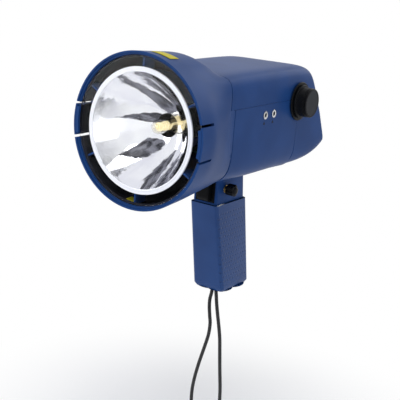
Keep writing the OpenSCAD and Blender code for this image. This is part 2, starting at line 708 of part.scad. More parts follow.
skirt_d = knob_d + 3.4;
skirt_t = 1.6;
cap_sink = 0.9;
cap_d = knob_d - 3.4;
shaft_foot = wall + 4.8;
module encoder_shaft()
  color(steel) head() knob_axis(side_x - shaft_foot)
    cylinder(d = shaft_d, h = shaft_foot + collar_t + 0.6 + knob_len - 3, $fn = 48);
module adjust_knob()
  color(black) head() knob_axis(knob_x) difference() {
    rotate_extrude($fn = round_fn) polygon([
      [0, 0], [skirt_d / 2 - 0.4, 0], [skirt_d / 2, 0.4], [skirt_d / 2, skirt_t - 0.3],
      [skirt_d / 2 - 0.5, skirt_t], [knob_d / 2 + 0.5, skirt_t], [knob_d / 2, knob_len - 0.9],
      [knob_d / 2 - 0.9, knob_len], [0, knob_len]]);
    translate([0, 0, knob_len - cap_sink]) cylinder(d = cap_d, h = 3, $fn = round_fn);
    translate([0, 0, -1]) cylinder(r = shaft_d / 2 + bore_gap, h = knob_len - 1.5, $fn = 48);
    translate([0, 0, -1]) difference() {
      cylinder(r = knob_d / 2 - 1.8, h = knob_len - 2.4, $fn = 48);
      cylinder(r = shaft_d / 2 + 2.2, h = knob_len, $fn = 48);
    }
  }
module knob_cap()
  color("#2a2b2e") head() knob_axis(knob_x + knob_len - cap_sink)
    rotate_extrude($fn = round_fn) polygon([
      [0, 0], [cap_d / 2 - 0.1, 0], [cap_d / 2 - 0.1, cap_sink - 0.3], [cap_d / 2 - 0.4, cap_sink],
      [0, cap_sink + 0.1]]);

// =================== jacks ===================
jack_r = 3;
jack_out = 0.7;
jack_len = 15;
module jack(k)
  color(steel) head() along_x(side_x + jack_out - jack_len, jack_y + k * jack_pitch, jack_z) difference() {
    union() {
      cylinder(r = jack_r, h = jack_len, $fn = 48);
      translate([0, 0, jack_len - jack_out + 0.05])
        cylinder(r = jack_r + 0.35, h = jack_out - 0.1, $fn = 48);
    }
    translate([0, 0, -1]) cylinder(d = jack_bore_d, h = jack_len + 2, $fn = 48);
  }
module input_jack() jack(0);
module output_jack() jack(1);
module jack_bodies()
  color(black) head() for (k = [0, 1]) difference() {
    centred_box(side_x - wall - 6, jack_y + k * jack_pitch, jack_z, [10, 9, 9]);
    along_x(side_x - 30, jack_y + k * jack_pitch, jack_z)
      cylinder(r = jack_r + 0.02, h = 30, $fn = 48);
  }

// =================== rear panel ===================
module panel_overlay()
  color("#c5c3c8") on_panel() translate([0, 0, -overlay_sink + 0.02]) linear_extrude(overlay_t)
    difference() {
      panel_outline(0);
      translate([lcd_x, lcd_y]) square([lcd_w, lcd_h], center = true);
      for (k = [1:6]) translate([key_x(k), key_y(k)])
        square([key_w + 2 * run_gap, key_h + 2 * run_gap], center = true);
    }
module lcd_pane(z, t)
  on_panel() translate([lcd_x, lcd_y, z]) linear_extrude(t)
    square([lcd_w + 2 * pane_margin, lcd_h + 2 * pane_margin], center = true);
module display_window()
  color("lightgray", 0.4) lcd_pane(-pane_back - window_t, window_t - 0.02);
lcd_t = -board_face - pane_back - window_t - 0.04;
module lcd_glass()
  color("#6f726b") lcd_pane(-pane_back - window_t - lcd_t - 0.02, lcd_t);
board_side = panel_w / 2 - 4.3;
board_low = panel_foot + 0.5;
board_high = panel_foot + panel_h - 2.5;
hole_in = 3;
hole_up = 3.5;
panel_holes = [for (x = [hole_in - board_side, board_side - hole_in],
  y = [board_low + hole_up, board_high - hole_up]) [x, y]];
module panel_board()
  color("darkgreen") on_panel() translate([0, 0, board_face - board_t]) difference() {
    translate([-board_side, board_low, 0]) cube([2 * board_side, board_high - board_low, board_t]);
    for (p = panel_holes) translate([p[0], p[1], -1]) cylinder(d = 2.6, h = 4, $fn = 24);
  }
module panel_screws()
  color(steel) on_panel() for (p = panel_holes) translate([p[0], p[1], board_face - board_t]) {
    translate([0, 0, -1.6]) cylinder(d = 4.4, h = 1.6 - eps, $fn = 32);
    translate([0, 0, -0.5]) cylinder(d = 2.2, h = board_t + 0.5, $fn = 24);
  }
module dome_switches()
  color(steel) on_panel() for (k = [1:6]) translate([key_x(k), key_y(k), board_face])
    rotate_extrude($fn = 32) polygon([[0, 0], [3, 0], [2.2, dome_h * 0.7], [1, dome_h], [0, dome_h]]);
key_foot = board_face + dome_h + key_travel + 0.1;
module key(k)
  color(k == 3 ? "#d8d6da" : "#6fd9c8") on_panel() translate([key_x(k), key_y(k), key_foot])
    linear_extrude(key_proud - key_foot) rounded_rect(key_w, key_h, 1.2);
module key_1() key(1);
module key_2() key(2);
module key_3() key(3);
module key_4() key(4);
module key_5() key(5);
module key_6() key(6);

// =================== charging socket ===================
charge_bore_d = 5.6;
charge_depth = 9;
charge_face = 0.5;
module charge_socket()
  color(black) at_chin() translate([0, 0, charge_face - charge_depth - 2]) difference() {
    union() {
      cylinder(d = charge_hole_d - 0.3, h = charge_depth + 2, $fn = 48);
      cylinder(d = charge_hole_d + 3, h = 4, $fn = 48);
    }
    translate([0, 0, 2]) cylinder(d = charge_bore_d, h = charge_depth + 1, $fn = 48);
    translate([0, 0, -1]) cylinder(d = 2.1, h = 4, $fn = 32);
  }
module charge_pin()
  color(steel) at_chin() translate([0, 0, charge_face - charge_depth - 3.5])
    cylinder(d = 2.08, h = charge_depth + 1, $fn = 32);

// =================== stickers: thin patches on the skins ===================
sticker_t = 0.2;
module patch(inner, outer) {
  // inner and outer are grids of points: rows of equal length
  loft([for (i = [0:len(inner) - 1])
    concat(inner[i], [for (j = [len(outer[i]) - 1:-1:0]) outer[i][j]])]);
}
sticker_lift = 0.05;
// a thin patch on the bell's cone: its section turned through part of a circle
function cone_r(y) = rim_d / 2 - bell_taper * y / bottom_front;
module bell_patch(th0, th1, y0, y1, low, high)
  color(yellow) head() along_y() rotate([0, 0, -th1]) rotate_extrude(angle = th1 - th0, $fn = 180)
    polygon([[cone_r(y0) - low, y0], [cone_r(y0) - high, y0],
             [cone_r(y1) - high, y1], [cone_r(y1) - low, y1]]);
module bell_sticker()
  bell_patch(70, 87, 9, 21, -sticker_lift, -sticker_lift - sticker_t);
inner_lift = wall + 0.5;
module inner_sticker()
  bell_patch(259, 268.6, 9, 16.5, inner_lift + sticker_t, inner_lift);
// angle of the chin's skin that lies at a given x
function chin_grid(inset) = [for (y = [body_len - 7.5, body_len - 4.8, body_len - 2.2])
  [for (i = [0:6]) let (x = mix(-20, 21, i / 6), th = 270 + atan2(x, keel(y, true)))
    casing_point(th, y, inset, true)]];
module rear_sticker()
  color(yellow) head() patch(chin_grid(-sticker_lift), chin_grid(-sticker_lift - sticker_t));

// =================== electronics ===================
module main_board()
  color("darkgreen") head() difference() {
    translate([-board_w / 2, board_y, board_z - board_t / 2]) cube([board_w, board_len, board_t]);
    for (p = board_holes) translate([p[0], p[1], board_z - 2]) cylinder(d = 2.6, h = 4, $fn = 24);
  }
board_top = board_z + board_t / 2;
module board_screws()
  color(steel) head() for (p = board_holes) translate([p[0], p[1], board_top]) {
    translate([0, 0, eps]) cylinder(d = 4.6, h = 1.6, $fn = 32);
    translate([0, 0, -6]) cylinder(d = 1.9, h = 6.5, $fn = 24);
  }
cap_r = 10;
module storage_capacitors()
  color("#2b3f6b") head() for (x = [-11, 11])
    translate([x, board_y + 8, board_top + cap_r + 0.02]) rotate([-90, 0, 0])
      rotate_extrude($fn = 48) polygon([
        [0, 0], [cap_r - 0.8, 0], [cap_r, 0.8], [cap_r, 2.6], [cap_r - 0.7, 3.2], [cap_r, 3.8],
        [cap_r, 33.2], [cap_r - 0.8, 34], [0, 34]]);
module flyback_transformer()
  color("#4a4038") head() translate([-14, board_y + 54, board_top + 0.02]) {
    translate([-11, -10, 0]) cube([22, 4.5, 20]);
    translate([-11, 5.5, 0]) cube([22, 4.5, 20]);
    translate([-11, -5.5, 0]) cube([22, 11, 4]);
    translate([-11, -5.5, 16]) cube([22, 11, 4]);
    translate([0, -5.5, 10]) rotate([-90, 0, 0]) cylinder(r = 5.5, h = 11, $fn = 48);
  }
module trigger_transformer()
  color("#8a2f22") head() translate([14, board_y + 54, board_top + 0.02]) difference() {
    union() {
      cylinder(r = 8, h = 2, $fn = 48);
      cylinder(r = 6.4, h = 16, $fn = 48);
      translate([0, 0, 14]) cylinder(r = 8, h = 2, $fn = 48);
    }
    translate([0, 0, -1]) cylinder(r = 2, h = 20, $fn = 32);
  }
module power_transistors()
  color("#2a2a2a") head() for (x = [-16, -4]) translate([x, board_y + 71.5, board_top + 0.02]) {
    translate([-5, -2.3, 3]) cube([10, 4.6, 15]);
    for (dx = [-2.5, 0, 2.5]) translate([dx - 0.4, -0.4, 0]) cube([0.8, 0.8, 3 + eps]);
  }

// =================== handle ===================
neck_outline = [
  [neck_front, neck_top], [neck_rear_top, neck_top], [neck_rear_foot, grip_top], [neck_front, grip_top]];
module neck_holes() for (y = [neck_front + 4.5, neck_rear_top - 4.8]) translate([0, y, neck_top - 6]) children();
tenon_in = 4;            // the tenon stands back from the grip's edges by this
tenon_w = grip_top_w - 2 * grip_wall - 0.04;
room_w = neck_w - 2 * neck_wall;
room_back = neck_rear_top - 2.4;
module handle_neck()
  color(blue) head() difference() {
    union() {
      side_slab(neck_outline, neck_w);
      // hollow tenon that the grip slides over
      side_slab([
        [grip_top_front + tenon_in, grip_top + eps], [neck_rear_foot - tenon_in, grip_top + eps],
        [neck_rear_foot - tenon_in + rear_rake * tenon_len, grip_top - tenon_len],
        [grip_top_front + tenon_in + front_rake * tenon_len, grip_top - tenon_len]], tenon_w);
    }
    // room for the trigger and switch, open at the front and below
    translate([-room_w / 2, neck_front - 1, trigger_foot - 1.6])
      cube([room_w, spring_seat - neck_front + 1, trigger_top - trigger_foot + 4]);
    translate([-room_w / 2 + 1, spring_seat + 2, -200])
      cube([room_w - 2, room_back - spring_seat - 2, 200 + trigger_top + 2.4]);
    translate([-3.6, spring_seat - 1, trigger_top - 8]) cube([7.2, 6, 8]);
    side_slab([
      [grip_top_front + 10, trigger_foot - 4], [neck_rear_foot - 6, trigger_foot - 4],
      [neck_rear_foot - 6 + rear_rake * (tenon_len + 2), grip_top - tenon_len - 1],
      [grip_top_front + 10 + front_rake * (tenon_len + 2), grip_top - tenon_len - 1]], tenon_w - 4);
    lock_axis(neck_w / 2 - neck_wall - 1) cylinder(d = lock_bush_d + 0.04, h = 8, $fn = 48);
    neck_holes() cylinder(d = 2.4, h = 16, $fn = 24);
    grip_screw_holes(2.2);
  }
module neck_screws()
  color(steel) head() neck_holes() {
    translate([0, 0, 6.1 + wall]) cylinder(d = 5.4, h = 1.8, $fn = 32);
    translate([0, 0, 1]) cylinder(d = 2.3, h = 5.5 + wall, $fn = 24);
  }
frame_t = 3.2;
frame_y = neck_front + 0.3;
module trigger_frame()
  color(black) head() difference() {
    translate([-room_w / 2 + 0.02, frame_y, trigger_foot - 1.4])
      cube([room_w - 0.04, frame_t, trigger_top - trigger_foot + 3.6]);
    translate([-trigger_w / 2 - run_gap, neck_front - 1, trigger_foot - run_gap])
      cube([trigger_w + 2 * run_gap, 8, trigger_top - trigger_foot + 2 * run_gap]);
  }
// a flange behind the frame keeps the trigger in
flange_w = 16;
flange_t = 2;
trigger_stop = frame_y + frame_t + 0.05;
module trigger()
  color(black) head() difference() {
    union() {
      side_slab([
        [trigger_front + 0.8, trigger_top], [trigger_back, trigger_top], [trigger_back, trigger_foot],
        [trigger_front + 1.6, trigger_foot], [trigger_front, trigger_foot + 2],
        [trigger_front - 0.2, trigger_foot + 6], [trigger_front, trigger_top - 2]], trigger_w);
      translate([-flange_w / 2, trigger_stop, trigger_foot])
        cube([flange_w, flange_t, trigger_top - trigger_foot]);
    }
    along_y(trigger_back - pocket_len) translate([0, -spring_z, 0])
      cylinder(d = pocket_d, h = pocket_len + 1, $fn = 32);
  }
spring_y0 = trigger_back - pocket_len + 0.05;
spring_r = (spring_d - spring_wire) / 2;
spring_steps = 14;
spring_count = spring_turns * spring_steps;
spring_len = spring_seat - spring_y0 - 0.05 - spring_wire;
spring_path = [for (i = [0:spring_count]) let (a = 360 * i / spring_steps)
  [spring_r * cos(a), spring_y0 + spring_wire / 2 + spring_len * i / spring_count,
   spring_z + spring_r * sin(a)]];
echo(str("least gap between the trigger spring's turns: ", spring_len / spring_turns - spring_wire, " mm"));
module trigger_spring()
  color(steel) head() tube(spring_path, spring_wire / 2, 6);
module trigger_switch()
  color("#333333") head() {
    translate([-3.2, spring_seat + 2.2, trigger_top - 12]) cube([6.4, 10, 12.6]);
    translate([-1.4, switch_tip, trigger_top - 6]) cube([2.8, spring_seat + 2.2 - switch_tip + eps, 3]);
    for (z = [2.5, 8]) translate([-1.6, spring_seat + 12.2 - eps, trigger_top - z - 1]) cube([3.2, 1.4, 0.6]);
  }

module lock_axis(x) along_x(x, lock_y, lock_z) children();
module lock_bush()
  color(brass) head() lock_axis(neck_w / 2 - neck_wall - 0.9)
    ring(lock_bush_d / 2, lock_stud_d / 2 + bore_gap, neck_wall + 1.2);
lock_stud_len = lock_knob_back - lock_tip + lock_knob_len - 2.5;
module lock_stud()
  color(steel) head() lock_axis(lock_tip) rotate_extrude($fn = 48) polygon([
    [0, 0], [lock_stud_d / 2 - 0.5, 0], [lock_stud_d / 2, 0.5], [lock_stud_d / 2, lock_stud_len],
    [0, lock_stud_len]]);
lobes = 5;
lobe_r = 2.1;
module lock_knob()
  color(black) head() lock_axis(lock_knob_back) difference() {
    union() {
      cylinder(d = lock_knob_d - 2.6, h = lock_knob_len, $fn = 48);
      for (k = [0:lobes - 1]) rotate([0, 0, 360 * k / lobes])
        translate([lock_knob_d / 2 - lobe_r, 0, 0]) cylinder(r = lobe_r, h = lock_knob_len - 0.8, $fn = 32);
      translate([0, 0, lock_knob_len - 0.5]) rotate_extrude($fn = 48)
        polygon(concat([[0, 0]], [for (i = [0:6]) let (a = 15 * i) [3.4 * cos(a), 0.5 + 1.5 * sin(a)]]));
    }
    translate([0, 0, -1]) cylinder(r = lock_stud_d / 2 + bore_gap, h = lock_knob_len - 1.2, $fn = 48);
  }

// grip: a raked box with rounded edges, wider and shallower at its base
grip_r = 3.4;
base_round = 2.6;
module grip_slab(z, w, front, rear, inset)
  translate([0, (front + rear) / 2, z]) linear_extrude(0.1)
    rounded_rect(w - 2 * inset, rear - front - 2 * inset, grip_r - inset / 2);
module grip_form(inset)
  hull() {
    grip_slab(grip_top - 0.1, grip_top_w, grip_top_front, grip_top_rear, inset);
    grip_slab(base_z + base_round, grip_base_w, grip_base_front - 0.6, grip_base_rear - 0.3, inset);
    grip_slab(base_z, grip_base_w - 3, grip_base_front + 1.2, grip_base_rear - 1.5, inset);
  }
seat_x = 7.5;            // ribs on the grip's floor carry the battery
seat_t = 2;
seat_len = 24;
module battery_seat()
  intersection() {
    at_stack() for (side = [0, 1]) mirror([side, 0, 0]) translate([seat_x, -seat_len / 2, -9])
      cube([seat_t, seat_len, 9 - contact_t - 0.04]);
    translate([-50, 0, base_z + floor_t - 0.5]) cube([100, 300, 20]);
  }
module grip()
  color(blue) head() difference() {
    union() {
      difference() {
        grip_form(0);
        intersection() {
          grip_form(grip_wall);
          translate([-50, 0, base_z + floor_t]) cube([100, 300, grip_h]);
        }
      }
      battery_seat();
    }
    translate([-50, 0, grip_top - 0.05]) cube([100, 300, 5]);
    bush_hole(bush_d / 2 + 0.02, bush_len + 5);
    translate([-anchor_w / 2 - 0.02, strap_y - anchor_d / 2 - 0.02, base_z - 1])
      cube([anchor_w + 0.04, anchor_d + 0.04, floor_t + 2]);
    grip_screw_holes(3);
  }
module bush_hole(r, h) translate([0, rim_to_bush, base_z - 1]) cylinder(r = r, h = h, $fn = 48);
grip_screw_z = grip_top - 3.8;
module grip_screw_holes(d)
  along_y(neck_rear_foot - 12) translate([0, -grip_screw_z, 0]) cylinder(d = d, h = 24, $fn = 24);
screw_face = grip_top_rear + rear_rake * (grip_top - grip_screw_z) + 0.35;
module grip_screws()
  color(steel) head() along_y(0) translate([0, -grip_screw_z, 0]) {
    translate([0, 0, screw_face]) cylinder(d = 4.8, h = 1.4, $fn = 32);
    translate([0, 0, neck_rear_foot - 9]) cylinder(d = 2, h = screw_face - neck_rear_foot + 9.1, $fn = 24);
  }

// battery: four cells in two columns, laid along the rake of the grip
contact_t = 0.6;
cell_lean = atan((front_rake + rear_rake) / 2);
cell_mid = (grip_base_front + grip_base_rear) / 2;
stack_z = base_z + bush_len + 2;
module at_stack()
  translate([0, cell_mid - (front_rake + rear_rake) / 2 * (bush_len + 2), stack_z + 2.5])
    rotate([cell_lean, 0, 0]) children();
module battery_cells()
  color("#3c8a4a") head() at_stack()
    for (side = [-1, 1], layer = [0, 1])
      translate([0, side * (cell_d / 2 + 0.02), layer * (cell_len + 0.02)])
        rotate_extrude($fn = 48) polygon([
          [0, 0], [cell_d / 2 - 0.8, 0], [cell_d / 2, 0.8], [cell_d / 2, cell_len - 2.2],
          [cell_d / 2 - 0.8, cell_len - 1.4], [2.8, cell_len - 1.4], [2.8, cell_len], [0, cell_len]]);
module battery_contacts()
  color(steel) head() at_stack() {
    translate([-seat_x - seat_t, -cell_d + 1, -contact_t - 0.02])
      cube([2 * (seat_x + seat_t), 2 * cell_d - 2, contact_t]);
    for (side = [-1, 1])
      translate([-6, side * (cell_d / 2) - 6, 2 * cell_len + 0.05]) cube([12, 12, contact_t]);
  }

module tripod_bush()
  color(brass) head() translate([0, rim_to_bush, base_z]) difference() {
    union() {
      cylinder(r = bush_d / 2, h = bush_len, $fn = 48);
      translate([0, 0, floor_t + 0.02])
        cylinder(r = bush_d / 2 + 1.6, h = bush_len - floor_t - 0.02, $fn = 48);
    }
    translate([0, 0, -1]) cylinder(d = tripod_bore_d, h = bush_len + 2, $fn = 48);
  }
module strap_anchor()
  color(black) head() translate([-anchor_w / 2, strap_y - anchor_d / 2, base_z + anchor_rise]) {
    cube([anchor_w, anchor_d, floor_t - anchor_rise + 0.03]);
    translate([-1, -1, floor_t - anchor_rise + 0.02]) cube([anchor_w + 2, anchor_d + 2, 2]);
  }
module wrist_strap()
  color(black) tube(strap_route, strap_d / 2, 8);

reflector_housing();
front_lens();
reflector();
lamp_envelope();
flash_tube();
lamp_base();
lamp_pins();
lamp_socket();
top_cover();
bottom_cover();
cover_screws();
main_board();
board_screws();
storage_capacitors();
flyback_transformer();
trigger_transformer();
power_transistors();
knob_collar();
encoder_body();
encoder_shaft();
adjust_knob();
knob_cap();
input_jack();
output_jack();
jack_bodies();
panel_overlay();
display_window();
lcd_glass();
panel_board();
panel_screws();
dome_switches();
key_1();
key_2();
key_3();
key_4();
key_5();
key_6();
charge_socket();
charge_pin();
bell_sticker();
inner_sticker();
rear_sticker();
handle_neck();
neck_screws();
trigger_frame();
trigger();
trigger_spring();
trigger_switch();
lock_bush();
lock_stud();
lock_knob();
grip();
grip_screws();
battery_cells();
battery_contacts();
tripod_bush();
strap_anchor();
wrist_strap();
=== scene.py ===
"""Hand-held xenon stroboscope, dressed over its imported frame.

Shapes are worked out in millimetres in the optical frame of the instrument
(x across, y back from the front rim, z up from the lamp's axis) and placed in
the part's frame, in metres, by to_part().
"""
import math

import bmesh
import bpy
import numpy as np
from mathutils import Matrix, Vector


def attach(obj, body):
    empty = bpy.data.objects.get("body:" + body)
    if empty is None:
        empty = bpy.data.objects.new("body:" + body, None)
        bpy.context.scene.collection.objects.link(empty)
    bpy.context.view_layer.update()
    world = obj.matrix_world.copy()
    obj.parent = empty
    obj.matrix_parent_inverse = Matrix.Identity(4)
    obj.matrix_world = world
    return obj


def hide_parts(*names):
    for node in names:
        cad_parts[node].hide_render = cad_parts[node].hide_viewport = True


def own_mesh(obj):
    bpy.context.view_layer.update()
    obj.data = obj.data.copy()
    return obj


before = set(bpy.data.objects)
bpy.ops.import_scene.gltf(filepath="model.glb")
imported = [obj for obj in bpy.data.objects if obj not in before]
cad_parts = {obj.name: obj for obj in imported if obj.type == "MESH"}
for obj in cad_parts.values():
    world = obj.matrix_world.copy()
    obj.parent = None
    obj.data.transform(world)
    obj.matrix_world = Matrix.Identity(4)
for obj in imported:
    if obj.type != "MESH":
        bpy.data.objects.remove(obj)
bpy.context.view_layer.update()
bpy.context.scene.view_settings.view_transform = "Standard"

# ---------------------------------------------------------------- dimensions
MM = 0.001
AXIS_H = 157.0            # lamp axis above the tripod bush
RIM_TO_BUSH = 150.0       # front rim to the bush, front to back
RIM_R = 61.0
WALL = 2.4                # of the casing and the bell
HALF_W = 46.35            # half of the casing's width
CREST_Z = 44.2            # top of the casing above the axis
KEEL_Z = 46.5             # foot of the casing below the axis
BODY_LEN = 229.0
BEND_FROM = 17.0          # where the bell's sides start to draw in to the casing
SHOULDER = 42.0           # where its top and foot start to
SLOT_END = 17.0           # inner end of the bell's slots
TOP_FRONT = 60.0          # front of the upper cover
BOTTOM_FRONT = 66.5       # front of the lower cover
REAR_START = 150.0        # where the casing starts to lean to its rear face
REAR_SEAM = 171.0         # upright seam behind the lower cover
PART_Z = 17.0             # parting line above the axis
SEAM = 0.25
TILT = math.radians(27)   # of the rear face
REAR_CORNER_Z = 26.0      # foot of the rear face below the axis
ORIGIN = np.array([0.0, -RIM_TO_BUSH, AXIS_H])
X_AXIS = (1.0, 0.0, 0.0)
Y_AXIS = (0.0, 1.0, 0.0)


def to_part(p):
    """Optical frame in millimetres to the part's frame in metres."""
    return (np.asarray(p, float) + ORIGIN) * MM


# -------------------------------------------------------------------- camera
def set_camera():
    """The photograph's camera: azimuth, elevation and roll about the point of
    aim, at a distance, with the lens and the shift that its frame needs."""
    az, el, roll = (math.radians(a) for a in (36.70379589, 11.22218832, 3.75368307))
    distance = 0.700
    picture_px, focal_px = 400, 931.19791708
    off_x_px, off_y_px = -64.82785972, -68.43374937
    back = Vector((math.sin(az) * math.cos(el), -math.cos(az) * math.cos(el), math.sin(el)))
    right = Vector((math.cos(az), math.sin(az), 0))
    up = back.cross(right)
    right_r = right * math.cos(roll) + up * math.sin(roll)
    up_r = -right * math.sin(roll) + up * math.cos(roll)
    data = bpy.data.cameras.new("Camera")
    data.sensor_width = 36.0
    data.lens = focal_px / picture_px * data.sensor_width
    data.shift_x = -off_x_px / picture_px
    data.shift_y = off_y_px / picture_px
    data.clip_end = 20
    cam = bpy.data.objects.new("Camera", data)
    m = Matrix.Identity(4)
    for i, axis in enumerate((right_r, up_r, back)):
        for k in range(3):
            m[k][i] = axis[k]
    m.translation = Vector(to_part((0, 0, 0))) + back * distance
    cam.matrix_world = m
    bpy.context.scene.collection.objects.link(cam)
    bpy.context.scene.camera = cam


set_camera()


# --------------------------------------------------------------- mesh making
def grid_faces(rows, cols, wrap_rows, wrap_cols, keep, start):
    """Quads of a grid of rows by cols points, row by row, joined round where a
    direction wraps. keep is a mask of the quads that stay."""
    r = np.arange(rows if wrap_rows else rows - 1)
    c = np.arange(cols if wrap_cols else cols - 1)
    i, j = np.meshgrid(r, c, indexing="ij")
    i2, j2 = (i + 1) % rows, (j + 1) % cols
    quads = np.stack([i * cols + j, i * cols + j2, i2 * cols + j2, i2 * cols + j], -1)
    if keep is not None:
        return quads[keep] + start
    return quads.reshape(-1, 4) + start


class Skin:
    """Points and faces of one piece, gathered from surfaces worked out as arrays."""

    def __init__(self):
        self.points, self.faces, self.marks, self.count = [], [], [], 0

    def add_points(self, p):
        """Adds points and gives the number of the first."""
        p = np.asarray(p, float).reshape(-1, 3)
        self.points.append(p)
        start = self.count
        self.count += len(p)
        return start

    def add_faces(self, quads, flip=False, mark=0):
        """Adds faces by their points' numbers; a mark is the face's material."""
        quads = np.asarray(quads, int)
        if flip:
            quads = quads[:, ::-1]
        self.faces.extend(quads.tolist())
        self.marks.extend([mark] * len(quads))

    def grid(self, p, wrap_rows=False, wrap_cols=False, keep=None, flip=False, mark=0):
        """A surface: p is an array of rows by cols by 3."""
        start = self.add_points(p)
        self.add_faces(
            grid_faces(p.shape[0], p.shape[1], wrap_rows, wrap_cols, keep, start), flip, mark)
        return start

    def cap(self, ring, flip=False, mark=0):
        """One flat face through a ring of points already added."""
        ring = list(ring)
        self.faces.append(ring[::-1] if flip else ring)
        self.marks.append(mark)

    def run(self, rings, flip=False):
        """A surface through rings one after another, closed by a flat face at both
        ends."""
        rings = np.asarray(rings, float)
        first, n = self.grid(rings, wrap_cols=True, flip=flip), rings.shape[1]
        last = first + (len(rings) - 1) * n
        self.cap(range(first, first + n), flip=not flip)
        self.cap(range(last, last + n), flip=flip)


def piece(name, skin, material, body, nodes=(), bevel=0.0, angle=32, segments=2,
          wall=0.0, smooth_angle=None, part_frame=False):
    """Makes the object: its place is in its points. Its doubles are merged and, where
    it is closed, its faces turned outwards. Walls and edges are finished by
    modifiers; edges that turn less than the angle are shaded smooth."""
    pts = np.concatenate(skin.points)
    if not part_frame:
        pts = to_part(pts)
    mesh = bpy.data.meshes.new(name)
    mesh.from_pydata(pts.tolist(), [], skin.faces)
    materials = material if isinstance(material, (list, tuple)) else [material]
    for m in materials:
        mesh.materials.append(m)
    mesh.polygons.foreach_set("material_index", np.array(skin.marks, dtype=np.int32))
    mesh.polygons.foreach_set("use_smooth", np.ones(len(mesh.polygons), bool))
    mesh.update()
    bm = bmesh.new()
    bm.from_mesh(mesh)
    bmesh.ops.remove_doubles(bm, verts=bm.verts, dist=1e-6)
    bmesh.ops.dissolve_degenerate(bm, edges=bm.edges, dist=1e-7)
    if not wall:
        bmesh.ops.recalc_face_normals(bm, faces=bm.faces)
        if bm.calc_volume(signed=True) < 0:
            bmesh.ops.reverse_faces(bm, faces=bm.faces)
    bm.to_mesh(mesh)
    bm.free()
    mesh.set_sharp_from_angle(angle=math.radians(smooth_angle or angle))
    obj = bpy.data.objects.new(name, mesh)
    bpy.context.scene.collection.objects.link(obj)
    if wall:
        mod = obj.modifiers.new("Wall", "SOLIDIFY")
        mod.thickness = wall * MM
        mod.offset = -1
        mod.use_even_offset = False
    if bevel:
        mod = obj.modifiers.new("Edges", "BEVEL")
        mod.width = bevel * MM
        mod.segments = segments
        mod.limit_method = "ANGLE"
        mod.angle_limit = math.radians(angle)
        mod.harden_normals = True
        mod.use_clamp_overlap = True
    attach(obj, body)
    if nodes:
        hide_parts(*nodes)
    return obj


def turned(skin, axis_point, along, profile, steps, mark=0, wobble=None):
    """A profile of (radius, height) carried round an axis: a grid of profile points
    by angles, each at the radius times the angle's cosine to one side and its sine
    to the other. wobble(radius, angle) may change the radius."""
    along = np.asarray(along, float) / np.linalg.norm(along)
    ref = np.array([0, 0, 1.0]) if abs(along[2]) < 0.9 else np.array([1.0, 0, 0])
    side = np.cross(ref, along)
    side /= np.linalg.norm(side)
    other = np.cross(along, side)
    a = np.linspace(0, 2 * np.pi, steps, endpoint=False)
    prof = np.asarray(profile, float)
    r, h = prof[:, :1], prof[:, 1:2]
    rr = np.repeat(r, steps, 1) if wobble is None else wobble(r, a[None, :])
    skin.grid(np.asarray(axis_point, float) + rr[..., None] * (
        np.cos(a)[None, :, None] * side + np.sin(a)[None, :, None] * other)
        + h[..., None] * along, wrap_cols=True, mark=mark)


def rounded(profile, radius, steps):
    """A profile with each inner corner replaced by an arc-like curve: a quadratic
    through points set back from the corner along both its sides."""
    pts = [np.asarray(p, float) for p in profile]
    out = [pts[0]]
    for a, b, c in zip(pts[:-2], pts[1:-1], pts[2:]):
        la, lc = np.linalg.norm(a - b), np.linalg.norm(c - b)
        cut = min(radius, la * 0.4, lc * 0.4)
        p, q = b + (a - b) / la * cut, b + (c - b) / lc * cut
        # a support ring on each side keeps the flats flat when shaded smooth
        out.append(b + (a - b) / la * cut * 1.2)
        for t in np.linspace(0, 1, steps + 1):
            out.append((1 - t) ** 2 * p + 2 * t * (1 - t) * b + t * t * q)
        out.append(b + (c - b) / lc * cut * 1.2)
    out.append(pts[-1])
    return np.array(out)


def box_skin(skin, low, high):
    """A box between two corners."""
    x0, y0, z0 = low
    x1, y1, z1 = high
    c = np.array([[x, y, z] for z in (z0, z1) for y in (y0, y1) for x in (x0, x1)], float)
    s = skin.add_points(c)
    skin.add_faces(np.array([[0, 2, 3, 1], [4, 5, 7, 6], [0, 1, 5, 4], [2, 6, 7, 3],
                             [0, 4, 6, 2], [1, 3, 7, 5]]) + s)


# ------------------------------------------------------- casing as a function
def clamp01(f):
    """A share held to 0 to 1."""
    return np.clip(f, 0.0, 1.0)


def ease(f):
    """A smooth step: three squares less two cubes of the share, held to 0 to 1."""
    g = clamp01(f)
    return g * g * (3 - 2 * g)


def mix(a, b, f):
    """The value a share of the way from a to b."""
    return a + (b - a) * f


def front_part(y):
    """1 at the casing's front, falling evenly to 0 over its first 60 mm."""
    return 1 - clamp01((y - TOP_FRONT) / 60)


def rear_part(y):
    """0 up to where the rear starts, rising evenly to 1 at the rear face."""
    return clamp01((y - REAR_START) / (BODY_LEN - REAR_START))


def chin_keel(y):
    """Depth of the casing below the axis over the chin: it rises with the cube of
    the way back, to just below the rear face's foot."""
    rise = KEEL_Z - 0.6 - REAR_CORNER_Z - 2.7
    return KEEL_Z - 0.6 - rise * rear_part(y) ** 3


def section_r(th, y, chin):
    """Radius of the casing's section at an angle and a distance back: a
    superellipse, of one height and power above the axis and another below."""
    f2, rear = front_part(y) ** 2, rear_part(y)
    crest = CREST_Z - 0.9 * f2 - 2.1 * rear ** 3
    if chin:
        keel = chin_keel(y) - f2
        power = 5 - 0.8 * f2 + 9 * rear ** 2
    else:
        keel = KEEL_Z - f2 + 0.8 * clamp01((y - REAR_START) / (REAR_SEAM - REAR_START))
        power = 5 - 0.8 * f2
    c, s = np.abs(np.cos(th)), np.sin(th)
    up = s >= 0
    b = np.where(up, crest, keel)
    n = np.where(up, 8.0, power)
    return ((c / HALF_W) ** n + (np.abs(s) / b) ** n) ** (-1 / n)


